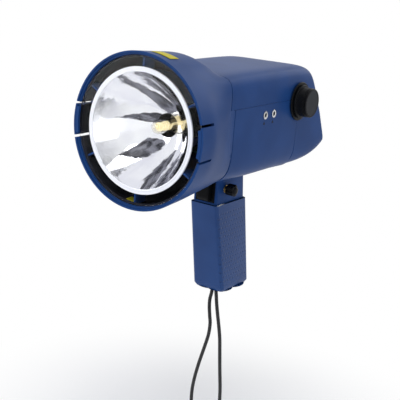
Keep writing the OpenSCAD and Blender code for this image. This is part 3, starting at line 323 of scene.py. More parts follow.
def casing_point(th, y, inset, chin):
    """Point of the casing's skin; the skin leans forward towards the tilted rear
    face and narrows a little at the top of it."""
    th, y = np.broadcast_arrays(np.asarray(th, float), np.asarray(y, float))
    r = section_r(th, y, chin) - inset
    z = r * np.sin(th)
    x = r * np.cos(th) * (1 - 0.06 * rear_part(y) * clamp01(z / CREST_Z))
    lean = math.tan(TILT) * rear_part(y) ** 2
    return np.stack([x, y - lean * (z + REAR_CORNER_Z), z], -1)


def upright_cut(th, y_cut, chin):
    """The skin's own distance back at which it meets an upright plane, by steps of
    what is still missing."""
    y = np.full(np.shape(th), float(y_cut))
    for _ in range(12):
        p = casing_point(th, y, 0, chin)
        y = y + (y_cut - p[..., 1])
    return y


def panel(u, v, w):
    """Rear panel's frame (u to the operator's right, v up, w out) to the optical."""
    u, v, w = np.broadcast_arrays(np.asarray(u, float), v, w)
    return np.stack([-u, BODY_LEN - v * math.sin(TILT) + w * math.cos(TILT),
                     -REAR_CORNER_Z + v * math.cos(TILT) + w * math.sin(TILT)], -1)


# ------------------------------------------------------------------ the bell
def shape_end(th):
    """Where the bell's shape ends: at the lower cover's front below the axis, and
    eased to the upper cover's front above it."""
    low = np.degrees(np.arcsin(np.sin(th)))
    return mix(BOTTOM_FRONT, TOP_FRONT, ease((low + 45) / 55)) - SEAM


def bell_r(th, y):
    """Radius of the bell: a gentle cone in front; at the casing's level it draws in
    along a power curve, and above and below it keeps its shape to a shoulder and
    falls in a quarter of an ellipse."""
    end = shape_end(th)
    cone = RIM_R - 4.5 * clamp01(y / BOTTOM_FRONT)
    side = section_r(th, TOP_FRONT, False)
    quarter = 1 - np.sqrt(1 - clamp01((y - SHOULDER) / (end - SHOULDER)) ** 2)
    gentle = clamp01((y - BEND_FROM) / (end - BEND_FROM)) ** 1.5
    deg = np.degrees(np.abs(np.arcsin(np.sin(th))))
    share = np.where(np.sin(th) > 0, 1 - ease((deg - 46) / 16), 0.35 + 0.65 * np.cos(th) ** 4)
    return mix(cone, side, mix(quarter, gentle, share))


def bell_point(th, y, inset):
    """Point of the bell's skin, set in from it by an inset."""
    th, y = np.broadcast_arrays(np.asarray(th, float), np.asarray(y, float))
    r = bell_r(th, y) - inset
    return np.stack([r * np.cos(th), y, r * np.sin(th)], -1)


# ----------------------------------------------------------------- materials
def rgb(text):
    """A colour written as in a paint list, to the linear values of a render."""
    v = np.array([int(text[i:i + 2], 16) for i in (0, 2, 4)]) / 255
    lin = np.where(v <= 0.04045, v / 12.92, ((v + 0.055) / 1.055) ** 2.4)
    return (*lin.tolist(), 1.0)


def node(tree, kind, inputs=None, **props):
    """A node with its values set and its sockets joined."""
    n = tree.nodes.new(kind)
    for key, value in props.items():
        setattr(n, key, value)
    for key, value in (inputs or {}).items():
        if isinstance(value, bpy.types.NodeSocket):
            tree.links.new(value, n.inputs[key])
        else:
            n.inputs[key].default_value = value
    return n


def sums(tree, op, *terms):
    """One step of arithmetic on values or sockets."""
    return node(tree, "ShaderNodeMath", dict(enumerate(terms)), operation=op).outputs[0]


def blend_colours(tree, fac, a, b):
    """A colour a share of the way from a to b."""
    return node(tree, "ShaderNodeMix", {0: fac, 6: a, 7: b}, data_type="RGBA").outputs[2]


def remap(tree, value, low, high, to_low=0.0, to_high=1.0):
    """A value's smooth step from one range to another."""
    n = node(tree, "ShaderNodeMapRange", {0: value, 1: low, 2: high, 3: to_low, 4: to_high},
             interpolation_type="SMOOTHSTEP")
    return n.outputs[0]


def new_group(name, inputs, outputs):
    """A node group with its sockets, and its input and output nodes."""
    g = bpy.data.node_groups.new(name, "ShaderNodeTree")
    for label, kind, value in inputs:
        s = g.interface.new_socket(label, in_out="INPUT", socket_type=kind)
        s.default_value = value
    for label, kind in outputs:
        g.interface.new_socket(label, in_out="OUTPUT", socket_type=kind)
    return g, g.nodes.new("NodeGroupInput"), g.nodes.new("NodeGroupOutput")


def own_place(tree):
    """The point being shaded, in the object's own frame."""
    return node(tree, "ShaderNodeTexCoord").outputs["Object"]


def noise(tree, where, scale, detail=2.0, roughness=0.5):
    """Smooth noise read at a place; scale is in waves per metre."""
    return node(tree, "ShaderNodeTexNoise", {"Vector": where, "Scale": scale, "Detail": detail,
                                             "Roughness": roughness}).outputs[0]


def seen_directly(tree):
    """1 for rays from the camera, from polished surfaces and through clear ones."""
    path = node(tree, "ShaderNodeLightPath").outputs
    return sums(tree, "MAXIMUM", sums(tree, "MAXIMUM", path["Is Camera Ray"],
                                      path["Is Glossy Ray"]), path["Is Transmission Ray"])


F, C = "NodeSocketFloat", "NodeSocketColor"


def moulded_group():
    """Moulded plastic: a spark-eroded grain from fine noise with small pits, a slow
    drift of colour, and roughness that follows both."""
    g, gi, go = new_group(
        "Moulded Plastic",
        [("Colour", C, (0.1, 0.1, 0.1, 1)), ("Drift", C, (0.12, 0.12, 0.12, 1)),
         ("Grain Size", F, 0.45), ("Roughness", F, 0.45), ("Spread", F, 0.08)],
        [("Colour", C), ("Roughness", F), ("Height", F)])
    where = own_place(g)
    per_m = sums(g, "DIVIDE", 1000.0, gi.outputs["Grain Size"])
    fine = noise(g, where, per_m, 3.0, 0.6)
    pits = node(g, "ShaderNodeTexVoronoi", {"Vector": where, "Scale": per_m,
                                            "Randomness": 1.0}).outputs["Distance"]
    slow = noise(g, where, 26.0)
    drift = remap(g, slow, 0.35, 0.65)
    colour = blend_colours(g, drift, gi.outputs["Colour"], gi.outputs["Drift"])
    height = sums(g, "ADD", sums(g, "MULTIPLY", fine, 0.7),
                  sums(g, "MULTIPLY", sums(g, "MINIMUM", pits, 0.6), 0.5))
    rough = sums(g, "ADD", gi.outputs["Roughness"],
                 sums(g, "MULTIPLY", sums(g, "SUBTRACT", fine, 0.5), gi.outputs["Spread"]))
    g.links.new(colour, go.inputs["Colour"])
    g.links.new(rough, go.inputs["Roughness"])
    g.links.new(height, go.inputs["Height"])
    return g


def brushed_group():
    """Turned or drawn metal: noise stretched along one axis, with a slow tarnish."""
    g, gi, go = new_group(
        "Turned Metal",
        [("Colour", C, (0.6, 0.6, 0.6, 1)), ("Tarnish", C, (0.4, 0.4, 0.4, 1)),
         ("Roughness", F, 0.25)],
        [("Colour", C), ("Roughness", F), ("Height", F)])
    where = own_place(g)
    stretch = node(g, "ShaderNodeMapping", {"Vector": where, "Scale": (400.0, 6000.0, 6000.0)})
    lines = noise(g, stretch.outputs[0], 1.0)
    slow = noise(g, where, 160.0, 3.0)
    colour = blend_colours(g, remap(g, slow, 0.4, 0.75), gi.outputs["Colour"], gi.outputs["Tarnish"])
    rough = sums(g, "ADD", gi.outputs["Roughness"],
                 sums(g, "MULTIPLY", sums(g, "SUBTRACT", lines, 0.5), 0.2))
    g.links.new(colour, go.inputs["Colour"])
    g.links.new(rough, go.inputs["Roughness"])
    g.links.new(lines, go.inputs["Height"])
    return g


MOULDED = moulded_group()
TURNED = brushed_group()


def material(name):
    """A new material with its tree, a principled shader and the output."""
    m = bpy.data.materials.new(name)
    m.use_nodes = True
    t = m.node_tree
    t.nodes.clear()
    shader = node(t, "ShaderNodeBsdfPrincipled")
    out = node(t, "ShaderNodeOutputMaterial", {"Surface": shader.outputs[0]})
    return m, t, shader, out


def bump(t, shader, height, distance, strength=1.0):
    """Feeds a height, in metres at full strength, to a shader's normal."""
    b = node(t, "ShaderNodeBump", {"Height": height, "Strength": strength, "Distance": distance})
    t.links.new(b.outputs[0], shader.inputs["Normal"])


def moulded(t, shader, colour, drift, grain, roughness):
    """The moulded plastic's group placed in a material, feeding its roughness."""
    g = node(t, "ShaderNodeGroup", node_tree=MOULDED)
    for key, value in (("Colour", rgb(colour)), ("Drift", rgb(drift)), ("Grain Size", grain),
                       ("Roughness", roughness), ("Spread", 0.08)):
        g.inputs[key].default_value = value
    t.links.new(g.outputs["Roughness"], shader.inputs["Roughness"])
    return g.outputs


def plastic(name, colour, drift, roughness, grain, depth):
    """A moulded plastic: depth is the grain's depth in millimetres."""
    m, t, shader, _ = material(name)
    g = moulded(t, shader, colour, drift, grain, roughness)
    t.links.new(g["Colour"], shader.inputs["Base Color"])
    bump(t, shader, g["Height"], depth * MM)
    shader.inputs["Specular IOR Level"].default_value = 0.06
    return m


def metal(name, colour, tarnish, roughness):
    """A turned or drawn metal with its slow tarnish."""
    m, t, shader, _ = material(name)
    g = node(t, "ShaderNodeGroup", node_tree=TURNED)
    g.inputs["Colour"].default_value = rgb(colour)
    g.inputs["Tarnish"].default_value = rgb(tarnish)
    g.inputs["Roughness"].default_value = roughness
    t.links.new(g.outputs["Colour"], shader.inputs["Base Color"])
    t.links.new(g.outputs["Roughness"], shader.inputs["Roughness"])
    shader.inputs["Metallic"].default_value = 1.0
    bump(t, shader, g.outputs["Height"], 0.004 * MM)
    return m


def clear(name, colour, roughness, ior, smear):
    """Clear glass or plastic. Shadow and diffuse rays pass straight through, so
    that what is behind it stays lit."""
    m, t, shader, out = material(name)
    shader.inputs["Base Color"].default_value = rgb(colour)
    shader.inputs["Transmission Weight"].default_value = 1.0
    shader.inputs["IOR"].default_value = ior
    shader.inputs["Specular IOR Level"].default_value = 0.25
    slow = noise(t, own_place(t), 45.0, 3.0)
    t.links.new(remap(t, slow, 0.45, 0.8, roughness, roughness + smear), shader.inputs["Roughness"])
    path = node(t, "ShaderNodeLightPath")
    through = node(t, "ShaderNodeBsdfTransparent", {"Color": rgb(colour)})
    passing = sums(t, "MAXIMUM", path.outputs["Is Shadow Ray"], path.outputs["Is Diffuse Ray"])
    both = node(t, "ShaderNodeMixShader", {0: passing, 1: shader.outputs[0], 2: through.outputs[0]})
    t.links.new(both.outputs[0], out.inputs["Surface"])
    return m


blue = plastic("Blue ABS", "1A3B70", "1E4077", roughness=0.38, grain=0.5, depth=0.016)
# dark grey of the insides: in part a conductive coating's own grey, in part painted shade inside the
# bell and the lamp's hole
inside_grey_painted_shade = plastic("Inside Grey Painted Shade", "24252C", "2B2C34", roughness=0.6, grain=0.8, depth=0.02)
bezel_navy = plastic("Bezel Navy", "1B3258", "1F3861", roughness=0.45, grain=0.7, depth=0.03)
black = plastic("Black Nylon", "0E0F11", "141517", roughness=0.36, grain=0.5, depth=0.02)
satin_black = plastic("Dial Black", "101113", "17181B", roughness=0.3, grain=0.35, depth=0.008)
cap_grey = plastic("Dial Cap Grey", "26282C", "2E3035", roughness=0.42, grain=0.3, depth=0.015)
flange_white = plastic("Reflector White", "FBFAFD", "F6F5FA", roughness=0.3, grain=0.6, depth=0.006)
ceramic = plastic("Lamp Ceramic", "D9D2C2", "CBC3B1", roughness=0.65, grain=0.3, depth=0.03)
label_yellow = plastic("Yellow Label", "BDB022", "C8BB2C", roughness=0.4, grain=1.6, depth=0.006)
nickel = metal("Nickel", "C9CACC", "9FA1A4", 0.2)
zinc = metal("Zinc Screws", "A9ACB0", "8A8E93", 0.32)
brass = metal("Turned Brass", "C6A664", "A98B4C", 0.26)
spring_steel = metal("Spring Steel", "A5A7AB", "84878C", 0.3)
board_green = plastic("Board Green", "12472A", "175534", roughness=0.32, grain=1.2, depth=0.01)
sleeve_blue = plastic("Capacitor Sleeve", "1C2E5E", "22376C", roughness=0.25, grain=2.0, depth=0.01)
ferrite = plastic("Ferrite", "3E3832", "4A433B", roughness=0.6, grain=0.25, depth=0.03)
epoxy = plastic("Moulded Epoxy", "17181A", "1F2023", roughness=0.5, grain=0.25, depth=0.02)
cell_green = plastic("Cell Sleeve", "2E7A47", "338650", roughness=0.24, grain=2.0, depth=0.01)
lens_clear = clear("Clear Lens", "FDFEFF", 0.01, 1.16, 0.02)
lamp_glass = clear("Lamp Glass", "F6F4EC", 0.0, 1.47, 0.01)
pane_clear = clear("Display Window", "F2F4F6", 0.03, 1.49, 0.04)


def mirror_material():
    """Vapour-plated bowl: bright metal over a slightly wavy moulding."""
    m, t, shader, _ = material("Plated Mirror")
    where = own_place(t)
    wave = noise(t, where, 55.0, 2.0, 0.45)
    fine = noise(t, where, 420.0)
    t.links.new(blend_colours(t, remap(t, wave, 0.3, 0.7), rgb("FAFAFC"), rgb("F0F0F5")),
                shader.inputs["Base Color"])
    t.links.new(remap(t, fine, 0.3, 0.8, 0.03, 0.09), shader.inputs["Roughness"])
    shader.inputs["Metallic"].default_value = 1.0
    bump(t, shader, sums(t, "ADD", wave, sums(t, "MULTIPLY", fine, 0.08)), 1.2 * MM, 0.35)
    return m


def flash_material():
    """Quartz flash tube: pale frosted glass, a faint straw tint at its electrodes, and a faint
    painted glow that stands in for the light on its coil.
    """
    m, t, shader, _ = material("Flash Quartz Painted Glow")
    fine = noise(t, own_place(t), 700.0, 3.0)
    t.links.new(blend_colours(t, remap(t, fine, 0.35, 0.7), rgb("FBF8EC"), rgb("E9E0BE")),
                shader.inputs["Base Color"])
    t.links.new(remap(t, fine, 0.3, 0.8, 0.08, 0.2), shader.inputs["Roughness"])
    shader.inputs["Transmission Weight"].default_value = 0.35
    # painted glow: the unlit tube gives off a little pale light in place of its highlights
    shader.inputs["Emission Strength"].default_value = 0.35
    t.links.new(blend_colours(t, remap(t, fine, 0.3, 0.7), rgb("FFF6DC"), rgb("F2DFA4")),
                shader.inputs["Emission Color"])
    return m


def grip_material():
    """Grip: moulded blue with rows of small pits in staggered order on its sides,
    and a plain front, back and foot; the pits are darkened with painted shade."""
    m, t, shader, _ = material("Grip Blue")
    g = moulded(t, shader, "1A3B70", "1E4076", 0.5, 0.42)
    x, y, z = node(t, "ShaderNodeSeparateXYZ", {0: own_place(t)}).outputs
    pitch, lean = 0.0042, 0.2
    along = sums(t, "DIVIDE", sums(t, "ADD", y, sums(t, "MULTIPLY", z, lean)), pitch)
    up = sums(t, "DIVIDE", z, pitch)
    shift = sums(t, "MULTIPLY", sums(t, "FLOORED_MODULO", sums(t, "FLOOR", up), 2.0), 0.5)
    du = sums(t, "SUBTRACT", sums(t, "FRACT", sums(t, "ADD", along, shift)), 0.5)
    dv = sums(t, "SUBTRACT", sums(t, "FRACT", up), 0.5)
    dist = sums(t, "SQRT", sums(t, "ADD", sums(t, "MULTIPLY", du, du), sums(t, "MULTIPLY", dv, dv)))
    pit = remap(t, dist, 0.12, 0.27)
    side = remap(t, sums(t, "ABSOLUTE", x), 0.0125, 0.0136)
    inside_z = sums(t, "MULTIPLY", remap(t, z, 0.006, 0.008), sums(
        t, "SUBTRACT", 1.0, remap(t, z, 0.074, 0.076)))
    where_on = sums(t, "MULTIPLY", side, inside_z)
    pitted = sums(t, "ADD", sums(t, "MULTIPLY", sums(t, "SUBTRACT", pit, 1.0), where_on), 1.0)
    # painted shade: inside the pits the colour darkens towards a deeper blue
    pits_painted_shade = blend_colours(t, sums(t, "MULTIPLY", sums(t, "SUBTRACT", 1.0, pitted), 0.45),
                         g["Colour"], rgb("142B57"))
    t.links.new(pits_painted_shade, shader.inputs["Base Color"])
    height = sums(t, "ADD", sums(t, "MULTIPLY", g["Height"], 0.05), pitted)
    shader.inputs["Specular IOR Level"].default_value = 0.22
    bump(t, shader, height, 0.3 * MM)
    return m


def strap_material():
    """Braided cord: two sets of diagonal ridges, the higher of two sines; its colour is darker in the
    grooves between them, a painted shade.
    """
    m, t, shader, _ = material("Braided Cord")
    where = own_place(t)
    x, y, z = node(t, "ShaderNodeSeparateXYZ", {0: where}).outputs
    across = sums(t, "ADD", x, y)
    one, two = (sums(t, "SINE", sums(t, "MULTIPLY", sums(t, op, z, across), 5200.0))
                for op in ("ADD", "SUBTRACT"))
    braid = sums(t, "MAXIMUM", one, two)
    fuzz = noise(t, where, 4200.0)
    height = sums(t, "ADD", braid, sums(t, "MULTIPLY", fuzz, 0.6))
    # painted shade: the colour darkens with the braid's depth and is palest on the ridges
    t.links.new(blend_colours(t, remap(t, height, -0.6, 1.3), rgb("050506"), rgb("17181B")),
                shader.inputs["Base Color"])
    t.links.new(remap(t, fuzz, 0.3, 0.7, 0.7, 0.9), shader.inputs["Roughness"])
    shader.inputs["Sheen Weight"].default_value = 0.25
    bump(t, shader, height, 0.12 * MM)
    return m


overlay_grey = plastic("Overlay Grey", "C5C3C8", "BEBDC3", roughness=0.42, grain=0.4, depth=0.01)
lcd_grey = plastic("Display Glass Grey", "6F726B", "757971", roughness=0.22, grain=1.5, depth=0.002)


KEY_ROW, KEY_PITCH = 12.5, 14.0     # lower row's height up the panel, and the step


def key_material(name, top, foot):
    """A key's cap: its own colour with a paler strip along its lower third, read
    from the key's height on the panel."""
    m, t, shader, _ = material(name)
    g = moulded(t, shader, top, top, 0.4, 0.4)
    z = node(t, "ShaderNodeSeparateXYZ", {0: own_place(t)}).outputs[2]
    # height up the panel, wrapped to each row of keys: zero at a key's middle
    v = sums(t, "DIVIDE", sums(t, "SUBTRACT", z, (AXIS_H - REAR_CORNER_Z) * MM), math.cos(TILT))
    first = (KEY_ROW - KEY_PITCH / 2) * MM
    row = sums(t, "SUBTRACT", sums(t, "WRAP", v, first + 2 * KEY_PITCH * MM, first), KEY_ROW * MM)
    strip = sums(t, "SUBTRACT", 1.0, remap(t, row, -0.0023, -0.0018))
    t.links.new(blend_colours(t, strip, g["Colour"], rgb(foot)), shader.inputs["Base Color"])
    bump(t, shader, g["Height"], 0.01 * MM)
    return m


key_blue = key_material("Key Turquoise", "6FD9C8", "E4E4E6")
key_pale = key_material("Key White", "DCDBE0", "DCDBE0")
key_faces = [key_blue, key_blue, key_pale, key_blue, key_blue, key_blue]
mirror = mirror_material()
flash_quartz_painted_glow = flash_material()
grip_blue = grip_material()
cord_black = strap_material()


# ---------------------------------------------------------------- wrist strap
STRAP_D = 3.2
# the route of the strap's centre line, in the part's frame, in millimetres
strap_route = np.array([
    (-1.9, -16, 1), (-1.9, -16, -3), (-2.5, -16, -8), (-3.6, -16, -14), (-3.5, -16, -21),
    (-2.4, -16, -29), (-1.2, -16, -37), (-2, -16, -48), (-5.4, -16, -62), (-9.6, -16, -78),
    (-13, -16, -94), (-14.6, -16, -108), (-14, -16, -121), (-10.8, -16, -131),
    (-5.6, -16, -137.6), (0, -16, -139.6), (5.6, -16, -137.6), (10.8, -16, -131),
    (14.2, -16, -121), (15.6, -16, -108), (15, -16, -94), (13.2, -16, -78), (11.6, -16, -62),
    (10.2, -16, -48), (8.2, -16, -37), (5.8, -16, -26), (4, -16, -17), (2.9, -16, -10),
    (2, -16, -4), (2, -16, 1)], float)


def smooth_line(points, per_span=8):
    """A line through every point: each span is a cubic whose end slopes are half
    the step between the points on either side."""
    p = np.concatenate([[2 * points[0] - points[1]], points, [2 * points[-1] - points[-2]]])
    t = np.linspace(0, 1, per_span, endpoint=False)[None, :, None]
    a, b, c, d = p[:-3, None], p[1:-2, None], p[2:-1, None], p[3:, None]
    m0, m1 = (c - a) / 2, (d - b) / 2
    q = ((2 * t ** 3 - 3 * t ** 2 + 1) * b + (t ** 3 - 2 * t ** 2 + t) * m0
         + (-2 * t ** 3 + 3 * t ** 2) * c + (t ** 3 - t ** 2) * m1)
    return np.concatenate([q.reshape(-1, 3), points[-1:]])


def add_tube(skin, path, radius, sides, start=X_AXIS):
    """A closed tube of circles square to a path; each circle's side vector is the one
    before it made square to the path again, so the tube doesn't twist."""
    tangent = np.gradient(path, axis=0)
    tangent /= np.linalg.norm(tangent, axis=1)[:, None]
    side = np.zeros_like(path)
    v = np.asarray(start, float)
    for i, t in enumerate(tangent):
        v = v - t * (v @ t)
        v = v / np.linalg.norm(v)
        side[i] = v
    other = np.cross(side, tangent)
    a = np.linspace(0, 2 * np.pi, sides, endpoint=False)[None, :, None]
    skin.run(path[:, None] + radius * (np.cos(a) * side[:, None] - np.sin(a) * other[:, None]),
             flip=True)


strap_line = smooth_line(strap_route) / 1000
skin = Skin()
add_tube(skin, strap_line, STRAP_D * MM / 2, 20)
strap = piece("Wrist_Strap", skin, cord_black, "casing", ("wrist_strap",), part_frame=True,
              smooth_angle=60)


# ----------------------------------------------------------------- the bell
SLOT_AT, SLOT_HALF = math.radians(12.9), 1.0 / 60
slot_centres = np.array([SLOT_AT, np.pi - SLOT_AT, np.pi + SLOT_AT, 2 * np.pi - SLOT_AT])
STEP_LOW, STEP_HIGH = 20.0, 20.14   # degrees: the seam steps between these two
bell_angles = np.unique(np.round(np.concatenate([
    np.radians(np.arange(0, 360, 1.25)), slot_centres - SLOT_HALF, slot_centres + SLOT_HALF,
    np.radians([STEP_HIGH, 180 - STEP_HIGH, STEP_LOW, 180 - STEP_LOW])]), 7))


def front_rows(ys, insets):
    """Rows of the bell at set distances back, each with its inset."""
    return [bell_point(bell_angles, y, i) for y, i in zip(ys, insets)]


SEAM_GROOVE = 0.4         # the bell stops this short of its seam, so the groove reads dark


def shoulder_row(f, inset):
    """A row a share of the way from the shoulder to the bell's end."""
    p = bell_point(bell_angles, mix(SHOULDER, shape_end(bell_angles), f), inset)
    p[:, 1] -= SEAM_GROOVE * max(0.0, f - 0.6) / 0.4
    return p


deg = np.degrees(bell_angles)
step_deg = (STEP_LOW + STEP_HIGH) / 2
seam_y = np.where((deg > step_deg) & (deg < 180 - step_deg), TOP_FRONT, BOTTOM_FRONT) - SEAM


def seam_row(back, inset):
    """A row set back from the seam, on the casing's section at its front."""
    r = section_r(bell_angles, TOP_FRONT, False) - inset
    return np.stack([r * np.cos(bell_angles), seam_y + back, r * np.sin(bell_angles)], -1)


outer_back = front_rows([SLOT_END, 21, 25, 29, 33, 37.5, SHOULDER], [0] * 7)
outer_shoulder = [shoulder_row(f, 0) for f in
                  (0.15, 0.3, 0.42, 0.53, 0.63, 0.72, 0.8, 0.87, 0.92, 0.96, 0.985, 1.0)]
seam_back = [seam_row(-SEAM_GROOVE, 0), seam_row(-SEAM_GROOVE, 2.6), seam_row(5, 2.6),
             seam_row(5, 4.2)]
inner_back = [shoulder_row(0.8, 3.6), shoulder_row(0.5, 3.0)] + front_rows(
    [SHOULDER, 34, 25, SLOT_END], [WALL] * 4)
inner_front = front_rows([6.6, 5.6, 5.6, 4.4, 4.4], [2.8, 3.6, 4.6, 4.6, 2.8])
lip = front_rows([1.2, 1.2, 0.0, 0.0], [2.8, 1.4, 1.4, 0.0])
outer_front = front_rows([3, 8, 12.5], [0] * 3)
rows = outer_back + outer_shoulder + seam_back + inner_back + inner_front + lip + outer_front
bell_grid = np.stack(rows)
n_rear = len(outer_back + outer_shoulder + seam_back + inner_back)   # its last: inner slot end
n_rows = len(rows)
mid = np.append(bell_angles[:-1] + np.diff(bell_angles) / 2,
                (bell_angles[-1] + 2 * np.pi + bell_angles[0]) / 2)
in_slot = (np.abs(mid[:, None] - slot_centres[None, :]) < SLOT_HALF).any(1)
front_quad = np.arange(n_rows) >= n_rear - 1
keep = ~(front_quad[:, None] & in_slot[None, :])
inner_quad = (np.arange(n_rows) >= n_rear - len(inner_back) - 4) & (
    np.arange(n_rows) < n_rear + len(inner_front) - 1)

skin = Skin()
start = skin.add_points(bell_grid)
n_cols = len(bell_angles)
# the inner faces take the second material, the dark grey with painted shade
for mark, chosen in ((0, ~inner_quad), (1, inner_quad)):
    skin.add_faces(grid_faces(n_rows, n_cols, True, True, keep & chosen[:, None], start),
                   mark=mark)
slot_cols = np.nonzero(in_slot)[0]
inner_end = start + (n_rear - 1) * n_cols
skin.add_faces(np.stack([inner_end + slot_cols, inner_end + (slot_cols + 1) % n_cols,
                         start + (slot_cols + 1) % n_cols, start + slot_cols], -1))
slot_edge = [*range(n_rear - 1, n_rows), 0]
for c in range(n_cols):
    before, after = in_slot[c - 1], in_slot[c]
    if before != after:
        skin.cap([start + r * n_cols + c for r in slot_edge], flip=bool(before))


def curved_block(skin, a0, a1, r0, r1, y0, y1):
    """A block bent round the axis: a rectangle of radius by distance carried from
    one angle to another, closed at both ends."""
    a = np.linspace(a0, a1, 18)
    corners = [(r0, y0), (r0, y1), (r1, y1), (r1, y0)]
    skin.run(np.stack([np.stack([r * np.cos(a), np.full_like(a, y), r * np.sin(a)], -1)
                       for r, y in corners], 1))


def plate_between(skin, outline, angle, thickness):
    """A flat plate standing on the axis: its outline is in radius and distance back."""
    out = np.array(outline, float)
    c, s = math.cos(angle), math.sin(angle)
    skin.run([np.stack([out[:, 0] * c - w * s, out[:, 1], out[:, 0] * s + w * c], -1)
              for w in (-thickness / 2, thickness / 2)], flip=True)


for side in (0.0, math.pi):
    curved_block(skin, side - 0.18, side + 0.18, 56.7, 59.4, 0.0, 1.9)
for k in range(6):
    plate_between(skin, [(58.7, 5.25), (49.1, 5.25), (49.1, 6.04), (47.2, 6.04), (47.2, 18.6),
                         (58.7, 18.6)], math.radians(30 + 60 * k), 1.2)
bell = piece("Bell_Housing", skin, [blue, inside_grey_painted_shade], "casing", ("reflector_housing",),
             bevel=0.28, angle=38, segments=2)


# ------------------------------------------------------ reflector, lens, lamp
HOLE_R, MOUTH_R, FLANGE_R, FLANGE_Y, BOWL_DEEP = 9.7, 45.0, 48.9, 4.6, 38.0
NECK_END = 55.6
FOUR_F = (MOUTH_R ** 2 - HOLE_R ** 2) / BOWL_DEEP
APEX = FLANGE_Y + MOUTH_R ** 2 / FOUR_F


def bowl_line(grow):
    """The bowl's parabola from its mouth to its hole, moved out by grow."""
    r = np.linspace(MOUTH_R, HOLE_R, 48)
    return np.stack([r + grow, APEX - r * r / FOUR_F], -1)


skin = Skin()
inner = bowl_line(0)
turned(skin, (0, 0, 0), Y_AXIS, np.concatenate(
    [rounded([(MOUTH_R + 0.5, FLANGE_Y + 0.02), (MOUTH_R, FLANGE_Y + 0.1), tuple(inner[2])], 0.3, 3),
     inner[3:]]), 256, mark=0)
# the wall of the lamp's hole takes the fourth material, the dark grey with painted shade
turned(skin, (0, 0, 0), Y_AXIS, np.concatenate(
    [inner[-1:], rounded([tuple(inner[-1]), (HOLE_R + 0.25, inner[-1][1] + 0.5),
                          (HOLE_R, NECK_END)], 0.5, 3)[1:]]), 256, mark=3)
turned(skin, (0, 0, 0), Y_AXIS, rounded(
    [(MOUTH_R + 1.4, FLANGE_Y + 5), (MOUTH_R + 1.5, FLANGE_Y + 1.4), (FLANGE_R, FLANGE_Y + 1.4),
     (FLANGE_R, FLANGE_Y), (46.6, FLANGE_Y), (46.3, FLANGE_Y - 0.25), (45.4, FLANGE_Y - 0.25),
     (45.2, FLANGE_Y + 0.03), (MOUTH_R + 0.1, FLANGE_Y + 0.03)], 0.25, 3), 256, mark=1)
outer = bowl_line(1.4)[::-1]
turned(skin, (0, 0, 0), Y_AXIS, np.concatenate(
    [[(HOLE_R, NECK_END), (HOLE_R + 1.4, NECK_END)], outer + np.array([0, 0.3])]),
    256, mark=2)
plated_back = metal("Plated Back", "B9BAC0", "9C9DA4", 0.3)
reflector = piece("Reflector_Bowl", skin, [mirror, flange_white, plated_back, inside_grey_painted_shade],
                  "casing", ("reflector",), smooth_angle=50)

skin = Skin()
turned(skin, (0, 0, 0), Y_AXIS, rounded(
    [(0.001, 2.31), (57.6, 2.31), (57.6, 4.28), (0.001, 4.28)], 0.4, 4), 256)
lens = piece("Lens_Disc", skin, lens_clear, "casing", ("front_lens",), smooth_angle=50)

ENV_Y, ENV_R, ENV_T = 24.6, 5.5, 0.9
a = np.linspace(0, np.pi / 2, 14)
skin = Skin()
turned(skin, (0, 0, 0), Y_AXIS, np.concatenate([
    np.stack([np.maximum(ENV_R * np.sin(a), 0.001), ENV_Y + ENV_R - ENV_R * np.cos(a)], -1),
    [(ENV_R, ENV_Y + 20), (ENV_R, ENV_Y + 34), (ENV_R - ENV_T, ENV_Y + 34),
     (ENV_R - ENV_T, ENV_Y + 20)],
    np.stack([np.maximum((ENV_R - ENV_T) * np.sin(a), 0.001),
              ENV_Y + ENV_R - (ENV_R - ENV_T) * np.cos(a)], -1)[::-1]]), 64)
envelope = piece("Lamp_Envelope", skin, lamp_glass, "casing", ("lamp_envelope",), smooth_angle=50)

COIL_R, COIL_PITCH, COIL_TURNS, BASE_Y = 2.9, 3.4, 4, 58.6
coil_y = ENV_Y + 5
coil_end = coil_y + COIL_PITCH * COIL_TURNS
t = np.linspace(0, COIL_TURNS, COIL_TURNS * 36 + 1)
helix = np.stack([COIL_R * np.cos(2 * np.pi * t), coil_y + COIL_PITCH * t,
                  COIL_R * np.sin(2 * np.pi * t)], -1)
lead_in = smooth_line(np.array([
    (0, BASE_Y, 0), (0, coil_end, 0), (0, coil_y + 1, 0), (0.1, coil_y - 0.5, -0.2),
    (0.6, coil_y - 1.4, -0.9), (1.5, coil_y - 1.4, -1.4), (2.4, coil_y - 0.7, -1.2), helix[0]]), 6)
lead_out = smooth_line(np.array([
    helix[-1], (COIL_R, coil_end + 0.9, 0.8), (COIL_R, coil_end + 2, 1.3),
    (COIL_R, coil_end + 4, 1.4), (COIL_R, BASE_Y, 1.4)]), 6)
skin = Skin()
add_tube(skin, np.concatenate([lead_in[:-1], helix, lead_out[1:]]), 0.9, 14)
flash = piece("Flash_Tube", skin, flash_quartz_painted_glow, "casing", ("flash_tube",), smooth_angle=60)


# ------------------------------------------------------------------ rear panel
PANEL_HALF, PANEL_TAPER, PANEL_LOW, PANEL_HIGH = 40.3, 2.8, 2.0, 71.0
ARCH, R_TOP, R_FOOT = 2.4, 6.4, 4.4


